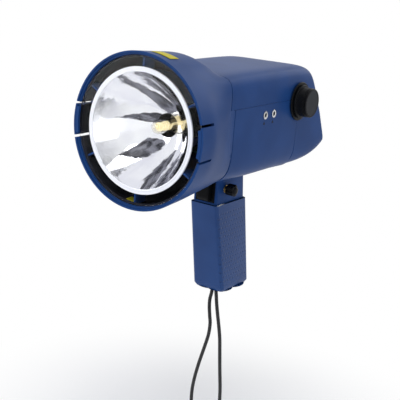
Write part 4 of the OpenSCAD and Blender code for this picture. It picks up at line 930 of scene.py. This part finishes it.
def panel_outline(grow):
    """The panel's outline in its own frame, anticlockwise: a foot and a top that
    arch, sides that lean in, and rounded corners, all moved out by grow."""
    w, y0, y1 = PANEL_HALF + grow, PANEL_LOW - grow, PANEL_HIGH + grow
    wt = w - PANEL_TAPER
    u = np.linspace(-1, 1, 25)
    foot = np.stack([u * (w - 5), y0 + ARCH * u ** 2], -1)
    a = np.radians(np.linspace(-70, -8, 7))
    low = np.stack([w - R_FOOT - 0.2 + R_FOOT * np.cos(a),
                    y0 + ARCH + R_FOOT + (R_FOOT - 0.1) * np.sin(a)], -1)
    f = np.linspace(0, 1, 9)[:, None]
    side = np.array([w, y0 + ARCH + 4.5]) * (1 - f) + np.array([wt, y1 - ARCH - 7]) * f
    a = np.radians(np.linspace(10, 78, 9))
    corner = np.stack([wt - R_TOP + R_TOP * np.cos(a), y1 - ARCH - 6.7 + 6.6 * np.sin(a)], -1)
    top = np.stack([-u * (wt - 6), y1 - ARCH * u ** 2], -1)
    right = np.concatenate([low, side, corner])
    return np.concatenate([foot, right, top, right[::-1] * [-1, 1]])


def corner_arcs(u0, u1, v0, v1, r, count=6):
    """The arcs of a rectangle's rounded corners, anticlockwise from its lower right
    one."""
    arcs = []
    for cu, cv, a0 in ((u1 - r, v0 + r, -90), (u1 - r, v1 - r, 0), (u0 + r, v1 - r, 90),
                       (u0 + r, v0 + r, 180)):
        a = np.radians(np.linspace(a0, a0 + 90, count))
        arcs.append(np.stack([cu + r * np.cos(a), cv + r * np.sin(a)], -1))
    return arcs


def rounded_box(u0, u1, v0, v1, r):
    """A rectangle with rounded corners."""
    return np.concatenate(corner_arcs(u0, u1, v0, v1, r))


def grid_edge(us, vs):
    """The edge of a grid of places, once round from its first corner."""
    us, vs = list(us), list(vs)
    return np.array([(u, vs[0]) for u in us] + [(us[-1], v) for v in vs[1:]]
                    + [(u, vs[-1]) for u in us[::-1][1:]]
                    + [(us[0], v) for v in vs[::-1][1:-1]])


def at_angles(outline, centre, angles):
    """An outline read at set angles about a centre, by straight lines between its
    points."""
    d = outline - centre
    ang = np.unwrap(np.arctan2(d[:, 1], d[:, 0]))
    r = np.hypot(d[:, 0], d[:, 1])
    base = ang[0]
    a = (np.asarray(angles) - base) % (2 * np.pi) + base
    order = np.argsort(ang)
    rr = np.interp(a, np.append(ang[order], ang[order][0] + 2 * np.pi),
                   np.append(r[order], r[order][0]))
    return centre + np.stack([rr * np.cos(a), rr * np.sin(a)], -1)


def on_box(u0, u1, v0, v1, centre, angles):
    """Where rays from a centre at given angles leave a rectangle."""
    c, s = np.cos(angles), np.sin(angles)
    c, s = np.where(np.abs(c) < 1e-9, 1e-9, c), np.where(np.abs(s) < 1e-9, 1e-9, s)
    reach = np.minimum(np.where(c > 0, u1 - centre[0], u0 - centre[0]) / c,
                       np.where(s > 0, v1 - centre[1], v0 - centre[1]) / s)
    return centre + reach[:, None] * np.stack([c, s], -1)


LCD_AT, LCD_W, LCD_H = (-1.2, 49.0), 56.0, 23.5
KEYS = [(u, v) for v in (KEY_ROW + KEY_PITCH, KEY_ROW)
        for u in (-2 * KEY_PITCH, -KEY_PITCH, 0.0)]
KEY_W, KEY_H, KEY_R, KEY_GAP = 11.2, 10.6, 1.2, 0.3


def box_about(centre, width, height):
    """The left, right, lower and upper edge of a box about its centre."""
    u, v = centre
    return u - width / 2, u + width / 2, v - height / 2, v + height / 2


windows = [(*box_about(LCD_AT, LCD_W, LCD_H), 1.0)]
windows += [(*box_about(at, KEY_W + 2 * KEY_GAP, KEY_H + 2 * KEY_GAP), KEY_R + KEY_GAP)
            for at in KEYS]


PANEL_MID = 36.0          # height of the panel's middle


def lifted(line, w):
    """A line of the panel's frame at a height above it, in the optical frame."""
    return panel(line[:, 0], line[:, 1], w)


def sheet_with_holes(skin, outline, w_top, w_foot, holes):
    """A flat plate between two heights of the panel, with rounded holes: its faces
    are cut along lines of a grid through every hole, each hole's corner filled to
    its arc and the plate's rim joined to the grid."""
    us = sorted({-35.0, 34.0, *[h[0] for h in holes], *[h[1] for h in holes]})
    vs = sorted({5.0, 66.0, *[h[2] for h in holes], *[h[3] for h in holes]})
    for w, flip in ((w_top, False), (w_foot, True)):
        g = np.stack([panel(np.array(us), v, w) for v in vs])
        keep = np.ones((len(vs) - 1, len(us) - 1), bool)
        for u0, u1, v0, v1, _ in holes:
            for j in range(len(vs) - 1):
                for i in range(len(us) - 1):
                    cu, cv = (us[i] + us[i + 1]) / 2, (vs[j] + vs[j + 1]) / 2
                    if u0 < cu < u1 and v0 < cv < v1:
                        keep[j, i] = False
        skin.grid(g, keep=keep, flip=flip)
        centre = np.array([(us[0] + us[-1]) / 2, PANEL_MID])
        ang = np.arctan2(*(grid_edge(us, vs) - centre).T[::-1])
        fine_a = np.sort(np.unique(np.round(np.concatenate(
            [ang, np.linspace(-np.pi, np.pi, 160, endpoint=False)]), 6)))
        inner_ring = on_box(us[0], us[-1], vs[0], vs[-1], centre, fine_a)
        outer_ring = at_angles(outline, centre, fine_a)
        skin.grid(np.stack([lifted(inner_ring, w), lifted(outer_ring, w)]), wrap_cols=True,
                  flip=not flip)
        for u0, u1, v0, v1, r in holes:
            for corner, arc in zip(((u1, v0), (u1, v1), (u0, v1), (u0, v0)),
                                   corner_arcs(u0, u1, v0, v1, r)):
                s = skin.add_points(lifted(np.array([corner, *arc]), w))
                skin.cap(range(s, s + 1 + len(arc)), flip=not flip)
    for hole in holes:
        ring = rounded_box(*hole)
        skin.grid(np.stack([lifted(ring, w_top), lifted(ring, w_foot)]), wrap_cols=True,
                  flip=True)
    skin.grid(np.stack([lifted(outer_ring, w_top), lifted(outer_ring, w_foot)]), wrap_cols=True)


# --------------------------------------------------------------------- covers
PART_TH = math.atan2(PART_Z, HALF_W)
REAR_ROUND = 2.4


def section_angles(a0, a1):
    """Angles between two ends, drawn together at the section's four corners."""
    t = np.linspace(a0, a1, int(round(math.degrees(a1 - a0) / 2.0)) + 1)
    return t + math.radians(9) * np.sin(4 * t) * np.minimum(1, np.minimum(t - a0, a1 - t) / 0.4)


def hole_params(surface, centre, axis, side, radius, angles, guess):
    """Where a round hole meets a surface: for each point of the hole's circle, the
    surface's two parameters on the line through it along the hole's axis, by
    Newton's steps."""
    centre, axis, side = (np.asarray(v, float) for v in (centre, axis, side))
    other = np.cross(axis, side)
    out = []
    for a in angles:
        base = centre + radius * (math.cos(a) * side + math.sin(a) * other)
        q = np.array([guess[0], guess[1], 0.0])
        for _ in range(14):
            f = surface(q[0], q[1]) - base - q[2] * axis
            e = 1e-5
            jac = np.stack([(surface(q[0] + e, q[1]) - surface(q[0], q[1])) / e,
                            (surface(q[0], q[1] + e) - surface(q[0], q[1])) / e, -axis], -1)
            q = q - np.linalg.solve(jac, f)
        out.append(q[:2])
    return np.array(out)


def punched_grid(skin, surface, ths, ys, holes):
    """A surface over a grid of angles and distances with round holes: the grid's
    cells inside each hole's window are left out, and a band of rings runs from the
    window's edge to the hole's circle."""
    g = np.stack([surface(ths, np.full(len(ths), y)) for y in ys])
    keep = np.ones((len(ys) - 1, len(ths) - 1), bool)
    for h in holes:
        ta, tb, ya, yb = h["window"]
        ti = (ths[:-1] >= ta - 1e-6) & (ths[1:] <= tb + 1e-6)
        yi = (ys[:-1] >= ya - 1e-6) & (ys[1:] <= yb + 1e-6)
        keep &= ~(yi[:, None] & ti[None, :])
        t_in = ths[(ths >= ta - 1e-6) & (ths <= tb + 1e-6)]
        y_in = ys[(ys >= ya - 1e-6) & (ys <= yb + 1e-6)]
        ring = grid_edge(t_in, y_in)[:, None]
        quarters = np.array([0, 0.25, 0.5, 0.75])[:, None]
        ring = mix(ring, np.roll(ring, -1, axis=0), quarters).reshape(-1, 2)
        pts = np.array([surface(t, y) for t, y in ring])
        axis, side = np.asarray(h["axis"], float), np.asarray(h["side"], float)
        d = pts - np.asarray(h["centre"], float)
        ang = np.unwrap(np.arctan2(d @ np.cross(axis, side), d @ side))
        inner = hole_params(surface, h["centre"], axis, side, h["radius"], ang,
                            ring.mean(0))
        f = np.linspace(0, 1, 4)[:, None, None]
        q = mix(ring[None], inner[None], f)
        band = np.stack([[surface(t, y) for t, y in row] for row in q])
        skin.grid(band, wrap_cols=True, flip=True)
    skin.grid(g, keep=keep, flip=True)


cut_side = float(upright_cut(np.array([PART_TH]), REAR_SEAM, True)[0])
rear_f = np.concatenate([np.linspace(0, 0.9, 19), [0.93, 0.955]])
y_round = BODY_LEN - REAR_ROUND
upper = section_angles(PART_TH, math.pi - PART_TH)
front_ys = np.concatenate([np.linspace(TOP_FRONT, REAR_START, 24),
                           np.linspace(REAR_START + 3, cut_side, 7)[:-1]])
lower = section_angles(math.pi - PART_TH, 2 * math.pi + PART_TH)


def chin_surface(th, f):
    """The chin's skin by angle and share of the way from the upright seam to the
    start of the rear edge's rounding."""
    start_y = upright_cut(np.atleast_1d(np.asarray(th, float)), REAR_SEAM, True)
    p = casing_point(np.atleast_1d(th), mix(start_y, y_round, f), 0, True)
    return p[0] if np.ndim(th) == 0 else p


def edge_rows(ths):
    """Rows that round the casing's rear edge in a quarter circle."""
    phi = np.radians(np.linspace(0, 90, 8))
    return [casing_point(ths, BODY_LEN - REAR_ROUND * (1 - math.sin(p)),
                         REAR_ROUND * (1 - math.cos(p)), True) for p in phi]


CHIN_AXIS = np.array([0, 0.5, -math.sqrt(0.75)])
SOCKET_AT = (12.0, 214.0, -34.0)
f_hole = hole_params(chin_surface, SOCKET_AT, CHIN_AXIS, X_AXIS, 0.01, [0.0],
                     (1.5 * math.pi + 0.32, 0.75))[0]
win_t = [f_hole[0] - 0.16, f_hole[0] + 0.16]
win_f = [f_hole[1] - 0.1, f_hole[1] + 0.1]
charge_hole = dict(window=(*win_t, *win_f), centre=SOCKET_AT, axis=CHIN_AXIS, side=X_AXIS,
                   radius=4.2)
low_th = np.array([t for t in lower if not win_t[0] - 0.02 < t < win_t[1] + 0.02])
low_th = np.sort(np.concatenate([low_th, win_t, np.linspace(*win_t, 7)[1:-1]]))
share = rear_f / rear_f[-1]
share = np.array([f for f in share if not win_f[0] - 0.015 < f < win_f[1] + 0.015])
share = np.sort(np.concatenate([share, win_f, np.linspace(*win_f, 5)[1:-1]]))

skin = Skin()
skin.grid(np.stack([casing_point(upper, y, 0, True) for y in front_ys]
                   + [casing_point(upper, mix(cut_side, y_round, f), 0, True) for f in share]
                   + edge_rows(upper)[1:]), flip=True)
punched_grid(skin, chin_surface, low_th, share, [charge_hole])
skin.grid(np.stack(edge_rows(low_th)), flip=True)
rim_th = np.concatenate([upper, low_th[1:-1]])
rim = casing_point(rim_th, BODY_LEN, REAR_ROUND, True)
rim_uv = np.stack([-rim[:, 0], (rim[:, 2] + REAR_CORNER_Z) / math.cos(TILT)], -1)
mid_point = np.array([0.0, PANEL_MID])
rim_angle = np.arctan2(rim_uv[:, 1] - PANEL_MID, rim_uv[:, 0])
recess = at_angles(panel_outline(0.2), mid_point, rim_angle)
skin.grid(np.stack([rim, lifted(mix(rim_uv, recess, 0.65), 0), lifted(recess, 0),
                    lifted(recess, -1.0), lifted(mix(mid_point, recess, 0.97), -1.0)]),
          wrap_cols=True, flip=True)
top_cover = piece("Casing_Top", skin, blue, "casing", ("top_cover",), wall=WALL, bevel=0.3,
                  angle=38)

low_z = PART_Z - SEAM
low_side = math.atan2(low_z, HALF_W)
bottom_th = section_angles(math.pi - low_side, 2 * math.pi + low_side)
JACK_Z, JACK_YS, JACK_WINDOW = 8.0, (114.0, 128.0), 3.3
jack_t = [2 * math.pi + math.atan2(JACK_Z + d, HALF_W) for d in (-JACK_WINDOW, JACK_WINDOW)]
bottom_th = np.array([t for t in bottom_th if not jack_t[0] - 0.01 < t < jack_t[1] + 0.01])
bottom_th = np.sort(np.concatenate([bottom_th, jack_t]))
bottom_ys = np.concatenate([np.linspace(BOTTOM_FRONT, 110.7, 10), [117.3, 121, 124.7, 131.3],
                            np.linspace(136, REAR_START, 4), [155, 160, 165, 170]])
jack_holes = [dict(window=(*jack_t, y - JACK_WINDOW, y + JACK_WINDOW), centre=(HALF_W, y, JACK_Z),
                   axis=X_AXIS, side=Y_AXIS, radius=3.05) for y in JACK_YS]


def belly_surface(th, y):
    """The underside's skin; past the handle its last rows run out to the upright
    seam."""
    t = np.atleast_1d(np.asarray(th, float))
    end = upright_cut(t, REAR_SEAM - SEAM, False)
    y = np.asarray(y)
    yy = np.where(y > REAR_START, mix(REAR_START, end, (y - REAR_START) / 20), y)
    p = casing_point(t, yy, 0, False)
    return p[0] if np.ndim(th) == 0 else p


skin = Skin()
punched_grid(skin, belly_surface, bottom_th, bottom_ys, jack_holes)
bottom_cover = piece("Casing_Bottom", skin, blue, "casing", ("bottom_cover",), wall=WALL,
                     bevel=0.3, angle=38)

# ---------------------------------------------------------- knob, jacks, marks
KNOB_AT = (0.0, REAR_SEAM, 14.5)


def ring_piece(name, point, along, profile, material, body, node_name, steps, radius):
    """A turned ring: a closed profile with its corners rounded."""
    prof = np.asarray(profile, float)
    prof = np.concatenate([prof, prof[:1]])
    start = (prof[0] + prof[1]) / 2
    loop = np.concatenate([[start], prof[1:], [start]])
    skin = Skin()
    turned(skin, point, along, rounded(loop, radius, 3), steps)
    return piece(name, skin, material, body, (node_name,), smooth_angle=50)


collar = ring_piece("Knob_Collar", KNOB_AT, X_AXIS, [
    (4.75, 46.37), (4.75, 48.38), (16.4, 48.38), (16.75, 47.9), (16.75, 47.5), (12.0, 47.5),
    (12.0, 46.37)], black, "casing", "knob_collar", 128, 0.25)
knob = ring_piece("Adjusting_Knob", KNOB_AT, X_AXIS, [
    (3.02, 56.3), (0.6, 56.4), (0.6, 58.35), (11.1, 58.35), (11.1, 59.3), (12.1, 59.3),
    (12.45, 58.9), (12.5, 58.0), (12.1, 57.85), (12.1, 57.45), (12.55, 57.3), (12.58, 56.9),
    (12.2, 56.75), (12.2, 56.35), (12.62, 56.2), (12.75, 50.9), (14.2, 50.6), (14.4, 50.2),
    (14.4, 49.2), (14.1, 48.9), (3.02, 48.9)], satin_black, "dial", "adjust_knob", 160, 0.16)
skin = Skin()
turned(skin, KNOB_AT, X_AXIS, rounded([(0.001, 58.4), (11.0, 58.4), (11.0, 59.42), (10.5, 59.42),
                                       (10.3, 59.25), (0.001, 59.25)], 0.16, 3), 128)
cap = piece("Knob_Cap", skin, cap_grey, "dial", ("knob_cap",), smooth_angle=50)
for name, y in zip(("Input_Jack", "Output_Jack"), JACK_YS):
    jack = ring_piece(name, (0.0, y, JACK_Z), X_AXIS, [
        (1.8, 32.05), (1.8, 46.7), (2.15, 47.05), (2.75, 47.05), (2.95, 46.97), (3.33, 46.9),
        (3.35, 46.42), (3.0, 46.38), (3.0, 32.05)], nickel, "casing", name.lower(), 48, 0.1)
for name, y in zip(("Input_Mark", "Output_Mark"), JACK_YS):
    skin = Skin()
    a = np.radians([90, 210, 330])
    tri = np.stack([np.full(3, 0.0), y - 1.0 + 1.9 * np.cos(a), 1.2 + 1.9 * np.sin(a)], -1)
    skin.run([tri + [46.1, 0, 0], tri + [46.42, 0, 0]])
    piece(name, skin, black, "casing", bevel=0.06)

# --------------------------------------------------------------- panel pieces
skin = Skin()
sheet_with_holes(skin, panel_outline(-0.02), -0.18, -0.97, windows)
overlay = piece("Panel_Overlay", skin, overlay_grey, "casing", ("panel_overlay",), bevel=0.12,
                angle=40)
skin = Skin()
sheet_with_holes(skin, panel_outline(0.1), -1.02, -3.5, windows)
piece("Panel_Bezel", skin, bezel_navy, "casing", bevel=0.1, angle=40)


def plate(skin, ring, w0, w1):
    """A closed plate between two heights of the panel, from its outline."""
    skin.run([lifted(ring, w0), lifted(ring, w1)], flip=True)


lcd_ring = rounded_box(*box_about(LCD_AT, 58.8, 26.4), 0.8)
skin = Skin()
plate(skin, lcd_ring, -3.71, -2.73)
window = piece("Display_Window", skin, pane_clear, "casing", ("display_window",), bevel=0.15)
skin = Skin()
plate(skin, lcd_ring * [0.995, 1] + [-0.006, 0], -5.07, -3.73)
lcd = piece("Display_Glass", skin, lcd_grey, "casing", ("lcd_glass",), bevel=0.1)
for k, at in enumerate(KEYS, 1):
    skin = Skin()
    plate(skin, rounded_box(*box_about(at, KEY_W, KEY_H), KEY_R), -4.35, 0.19)
    key = piece(f"Key_{k}", skin, key_faces[k - 1], f"key_{k}", (f"key_{k}",), bevel=0.45,
                angle=50, segments=3)

# ---------------------------------------------------------- charging socket
socket = ring_piece("Charging_Socket", SOCKET_AT, CHIN_AXIS, [
    (2.8, -8.5), (2.8, 0.1), (3.2, 0.5), (4.02, 0.5), (4.05, -1.5), (4.05, -6.5), (5.7, -6.5),
    (5.7, -10.5), (1.05, -10.5), (1.05, -8.5)], black, "casing", "charge_socket", 64, 0.12)


# ------------------------------------------------------------------- stickers
def sticker(name, g, node_name, face_in=False):
    """A label on a grid of points, thickened outwards or, facing in, inwards."""
    skin = Skin()
    skin.grid(g, flip=face_in)
    obj = piece(name, skin, label_yellow, "casing", (node_name,), wall=0.2)


th = np.radians(np.linspace(70, 87, 13))
sticker("Bell_Label", np.stack([bell_point(th, y, -0.25) for y in np.linspace(9, 21, 7)]),
        "bell_sticker")
th = np.radians(np.linspace(259, 268.6, 9))
sticker("Inside_Label", np.stack([bell_point(th, y, 3.1) for y in np.linspace(9, 16.5, 6)]),
        "inner_sticker", face_in=True)


def chin_row(y):
    """A row of the chin's label, just off the skin."""
    x = np.linspace(-20, 21, 15)
    return casing_point(1.5 * math.pi + np.arctan2(x, chin_keel(y)), y, -0.25, True)


sticker("Chin_Label", np.stack([chin_row(y) for y in np.linspace(221.5, 226.8, 6)]),
        "rear_sticker")

# ------------------------------------------------------------ neck and trigger
NECK_TOP, GRIP_TOP, BASE_Z = -46.52, -75.3, -157.0
NECK_W, NECK_FRONT, NECK_R = 23.6, 106.0, 1.4
OPEN_HALF, OPEN_TOP, OPEN_FOOT = 9.6, -51.2, -73.6    # the trigger's opening


def box_ring(x, y0, y1, r, per_corner=5, stops=()):
    """A rectangle with rounded corners about x = 0, from its front face's middle
    round by +X; stops are extra x places on the front face."""
    front = np.array(sorted({0.0, *[s for s in stops if 0 < s < x - r]}))
    back = -front[:0:-1]
    return np.concatenate([np.stack([front, np.full(len(front), y0)], -1),
                           *corner_arcs(-x, x, y0, y1, r, per_corner),
                           np.stack([back, np.full(len(back), y0)], -1)])


skin = Skin()
zs = np.array([NECK_TOP, -48.5, OPEN_TOP, -57, -62, -68, OPEN_FOOT, -74.5, GRIP_TOP - 0.02])
rings = []
for z in zs:
    back = mix(146.8, 151.0, (z - NECK_TOP) / (GRIP_TOP - NECK_TOP))
    ring = box_ring(NECK_W / 2, NECK_FRONT, back, NECK_R, stops=(OPEN_HALF,))
    rings.append(np.column_stack([ring, np.full(len(ring), z)]))
g = np.stack(rings)
xs = g[0, :, 0]
on_front = g[0, :, 1] < NECK_FRONT + 0.01
front_cell = (np.abs(xs + np.roll(xs, -1)) / 2 < OPEN_HALF) & on_front & np.roll(on_front, -1)
level = (zs[:-1] <= OPEN_TOP + 1e-6) & (zs[1:] >= OPEN_FOOT - 1e-6)
skin.grid(g, wrap_cols=True, keep=~(level[:, None] & front_cell[None, :]), flip=True)
neck = piece("Handle_Neck", skin, blue, "casing", ("handle_neck",), wall=2.2, bevel=0.3, angle=40)


def slab(skin, outline, half_w):
    """A side outline (y, z) carried across to both sides."""
    skin.run([np.column_stack([np.full(len(outline), x), outline]) for x in (-half_w, half_w)])


def window_frame(skin, x, z0, z1, ix, iz0, iz1, y0, y1):
    """An upright plate with a window through it."""
    outer = rounded_box(-x, x, z0, z1, 1.0)
    inner = rounded_box(-ix, ix, iz0, iz1, 0.8)
    loops = [(inner, y1), (inner, y0), (outer, y0), (outer, y1)]
    g = np.stack([np.column_stack([o[:, 0], np.full(len(o), y), o[:, 1]]) for o, y in loops])
    skin.grid(g, wrap_rows=True, wrap_cols=True)


# the black frame fills the neck's opening: in part a switch housing, in part a dark piece that stands
# for the shade in that opening, a painted shade
skin = Skin()
window_frame(skin, 9.56, -73.38, -51.42, 5.9, -72.3, -53.3, 106.3, 109.5)
trigger_frame = piece("Trigger_Frame", skin, black, "casing", ("trigger_frame",), bevel=0.35,
                      angle=40, segments=3)
skin = Skin()
slab(skin, [(102.6, -72), (101, -70), (100.75, -68), (100.7, -66), (100.72, -60), (100.8, -57),
            (101, -55.6), (101.8, -53.6), (125, -53.6), (125, -72)], 5.6)
box_skin(skin, (-8, 109.57, -72), (8, 111.53, -53.6))
trigger = piece("Trigger", skin, black, "trigger", ("trigger",), bevel=0.8, angle=40, segments=4)

SPRING_R, SPRING_WIRE, SPRING_Z, SPRING_TURNS = 1.85, 0.35, -67.5, 6
t = np.linspace(0, SPRING_TURNS, SPRING_TURNS * 20 + 1)
coil = np.stack([SPRING_R * np.cos(2 * np.pi * t), mix(117.8, 130.0, t / SPRING_TURNS),
                 SPRING_Z + SPRING_R * np.sin(2 * np.pi * t)], -1)
skin = Skin()
add_tube(skin, coil, SPRING_WIRE, 10, start=(0.0, 0.0, 1.0))
spring = piece("Trigger_Spring", skin, spring_steel, "casing", ("trigger_spring",),
               smooth_angle=60)
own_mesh(spring)

# ----------------------------------------------------------------- lock knob
LOCK_AT = (0.0, 119.3, -62.4)


def lobes(r, a):
    """Five rounded lobes on a core: the further of the core's circle and the
    nearest lobe's, read along each angle, used only near the rim."""
    core, lobe_at, lobe_r = 4.1, 3.3, 2.1
    d = np.abs((a * 5 / (2 * np.pi) + 0.5) % 1 - 0.5) * 2 * np.pi / 5
    off = lobe_at * np.sin(d)
    reach = lobe_at * np.cos(d) + np.sqrt(np.maximum(lobe_r ** 2 - off ** 2, 0))
    reach = np.where(off < lobe_r, reach, 0)
    shape = (np.maximum(reach, 0.1) ** 14 + core ** 14) ** (1 / 14) / (lobe_at + lobe_r)
    return r * mix(1.0, shape, clamp01((r - lobe_at) / 1.9))


skin = Skin()
turned(skin, LOCK_AT, X_AXIS, rounded([
    (0.001, 13.9), (4.9, 13.9), (5.35, 14.4), (5.4, 15.2), (5.4, 20.2), (5.25, 20.9),
    (4.9, 21.3), (4.0, 21.45), (3.5, 21.5), (3.4, 21.75), (2.9, 22.35), (1.7, 22.72),
    (0.001, 22.8)], 0.25, 3), 200, wobble=lobes)
lock_knob = piece("Lock_Knob", skin, satin_black, "lock_handle", ("lock_knob",), smooth_angle=55)
bush = ring_piece("Lock_Bush", LOCK_AT, X_AXIS, [(2.04, 8.7), (2.04, 12.1), (3.4, 12.1),
                                                 (3.4, 8.7)], brass, "casing", "lock_bush",
                  48, 0.2)

# ---------------------------------------------------------------------- grip
GRIP_R = 3.4
CHAMFER_Z = -154.4        # where the grip's sides turn in to its foot
# height, width, front and back of the grip, each drawn straight to the next
levels = [(GRIP_TOP, 27.6, 103.7, 153.0), (CHAMFER_Z, 31.0, 122.0, 166.1),
          (BASE_Z, 28.0, 123.8, 164.9)]


def grip_ring(z):
    """The grip's outline at a height."""
    for (z0, w0, a0, b0), (z1, w1, a1, b1) in zip(levels[:-1], levels[1:]):
        if z >= z1 - 1e-9:
            f = (z - z0) / (z1 - z0)
            ring = box_ring(mix(w0, w1, f) / 2, mix(a0, a1, f), mix(b0, b1, f), GRIP_R, 8)
            return np.column_stack([ring, np.full(len(ring), z)])


zs = np.concatenate([np.linspace(GRIP_TOP, CHAMFER_Z, 24), [-155.2, -156.1, BASE_Z]])
rings = [grip_ring(z) for z in zs]
skin = Skin()
skin.grid(np.stack(rings), wrap_cols=True, flip=True)
foot = rings[-1][:, :2]


def foot_half(keep_front, hole):
    """Half of the foot, from its part of the outline to the rim of its hole."""
    cut = 142.0
    poly = []
    for p, q in zip(foot, np.roll(foot, -1, axis=0)):
        inside = (p[1] <= cut) == keep_front
        if inside:
            poly.append(p)
        if ((q[1] <= cut) == keep_front) != inside:
            poly.append(p + (q - p) * (cut - p[1]) / (q[1] - p[1]))
    poly = np.array(poly)
    centre = hole.mean(0)
    ang = np.arctan2(*(poly - centre).T[::-1])
    order = np.argsort(ang)
    poly, ang = poly[order], ang[order]
    extra = np.linspace(-np.pi, np.pi, 96, endpoint=False)
    cut_angles = np.sort(np.unique(np.round(np.concatenate([ang, extra]), 7)))
    outer = at_angles(poly, centre, cut_angles)
    inner = at_angles(hole, centre, cut_angles)
    skin.grid(np.stack([np.column_stack([line, np.full(len(line), z)]) for line, z in
                        ((outer, BASE_Z), (inner, BASE_Z), (inner, BASE_Z + 2.0))]),
              wrap_cols=True, flip=True)


circle = np.linspace(0, 2 * np.pi, 64, endpoint=False)
foot_half(False, np.array([0, 150.0]) + 5.08 * np.stack([np.cos(circle), np.sin(circle)], -1))
foot_half(True, rounded_box(-5.1, 5.1, 131.1, 136.9, 0.8))
grip = piece("Grip", skin, grip_blue, "casing", ("grip",), bevel=0.5, angle=40, segments=3)


# ------------------------------------------------- solids shown as they come
as_they_come = {
    "lamp_base": ceramic, "lamp_pins": nickel, "lamp_socket": black, "cover_screws": zinc,
    "main_board": board_green, "board_screws": zinc, "storage_capacitors": sleeve_blue,
    "flyback_transformer": ferrite, "trigger_transformer": brass, "power_transistors": epoxy,
    "encoder_body": epoxy, "encoder_shaft": zinc, "jack_bodies": epoxy,
    "panel_board": board_green, "panel_screws": zinc, "dome_switches": spring_steel,
    "charge_pin": nickel, "neck_screws": zinc, "trigger_switch": epoxy, "lock_stud": zinc,
    "grip_screws": zinc, "battery_cells": cell_green, "battery_contacts": nickel,
    "tripod_bush": brass, "strap_anchor": zinc}
for name, m in as_they_come.items():
    obj = bpy.data.objects[name]
    obj.data.materials.clear()
    obj.data.materials.append(m)


# -------------------------------------------------------------- light and room
def lamp(name, at, to, size, power):
    """A flat white lamp at a place, turned to a point."""
    data = bpy.data.lights.new(name, "AREA")
    data.shape = "RECTANGLE"
    data.size, data.size_y = size
    data.energy = power
    obj = bpy.data.objects.new(name, data)
    obj.location = at
    obj.rotation_euler = (Vector(to) - Vector(at)).to_track_quat("-Z", "Y").to_euler()
    bpy.context.scene.collection.objects.link(obj)


AIM = (0.0, -0.06, 0.12)
lamp("Key_Light", (0.35, -0.75, 1.5), AIM, (0.9, 0.9), 9)
lamp("Fill_Light", (-1.3, -1.3, 0.5), AIM, (1.3, 1.3), 13)
lamp("Side_Light", (1.5, -0.2, 0.35), AIM, (1.2, 0.9), 2.5)
lamp("Rear_Light", (0.3, 1.4, 0.9), AIM, (1.0, 1.0), 5)

world = bpy.data.worlds.new("Room")
bpy.context.scene.world = world
world.use_nodes = True
wt = world.node_tree
wt.nodes.clear()
lit = node(wt, "ShaderNodeBackground", {"Color": rgb("E6E8EC"), "Strength": 0.62})
white = node(wt, "ShaderNodeBackground", {"Color": (1, 1, 1, 1), "Strength": 1.0})
both = node(wt, "ShaderNodeMixShader", {0: seen_directly(wt), 1: lit.outputs[0], 2: white.outputs[0]})
node(wt, "ShaderNodeOutputWorld", {"Surface": both.outputs[0]})


def floor_material():
    """A pale floor that keeps the shadow near the object and runs out to the white
    of the room further off."""
    m, t, shader, out = material("Floor")
    where = own_place(t)
    slow = noise(t, where, 3.0)
    t.links.new(blend_colours(t, remap(t, slow, 0.3, 0.7), rgb("FDFDFD"), rgb("FBFBFC")),
                shader.inputs["Base Color"])
    shader.inputs["Roughness"].default_value = 0.9
    far = remap(t, node(t, "ShaderNodeVectorMath", {0: where}, operation="LENGTH").outputs["Value"],
                0.17, 0.34)
    glow = node(t, "ShaderNodeEmission", {"Color": (1, 1, 1, 1), "Strength": 1.0})
    both = node(t, "ShaderNodeMixShader", {0: sums(t, "MULTIPLY", far, seen_directly(t)),
                                           1: shader.outputs[0], 2: glow.outputs[0]})
    t.links.new(both.outputs[0], out.inputs["Surface"])
    return m


def flat_sheet(name, low, high, z, look):
    """A level sheet of the stage between two corners."""
    (x0, y0), (x1, y1) = low, high
    mesh = bpy.data.meshes.new(name)
    mesh.from_pydata([(x0, y0, z), (x1, y0, z), (x1, y1, z), (x0, y1, z)], [], [(0, 1, 2, 3)])
    mesh.materials.append(look)
    obj = bpy.data.objects.new(name, mesh)
    bpy.context.scene.collection.objects.link(obj)
    return obj


FLOOR_Z = -0.165
flat_sheet("Floor", (-6, -6), (6, 6), FLOOR_Z, floor_material())


def dark_card(name, low, high, z):
    """A dark card off camera, seen only in polished metal."""
    m, t, shader, _ = material(name)
    cloth = noise(t, own_place(t), 4.0, 3.0)
    t.links.new(blend_colours(t, remap(t, cloth, 0.42, 0.6), rgb("2C2C33"), rgb("85858D")),
                shader.inputs["Base Color"])
    shader.inputs["Roughness"].default_value = 0.9
    obj = flat_sheet(name, low, high, z, m)
    obj.visible_camera = obj.visible_shadow = obj.visible_diffuse = False


dark_card("Low_Card", (-0.9, -1.5), (0.9, -0.45), FLOOR_Z + 0.005)
dark_card("High_Card", (0.5, -1.3), (-0.8, -0.4), 0.95)
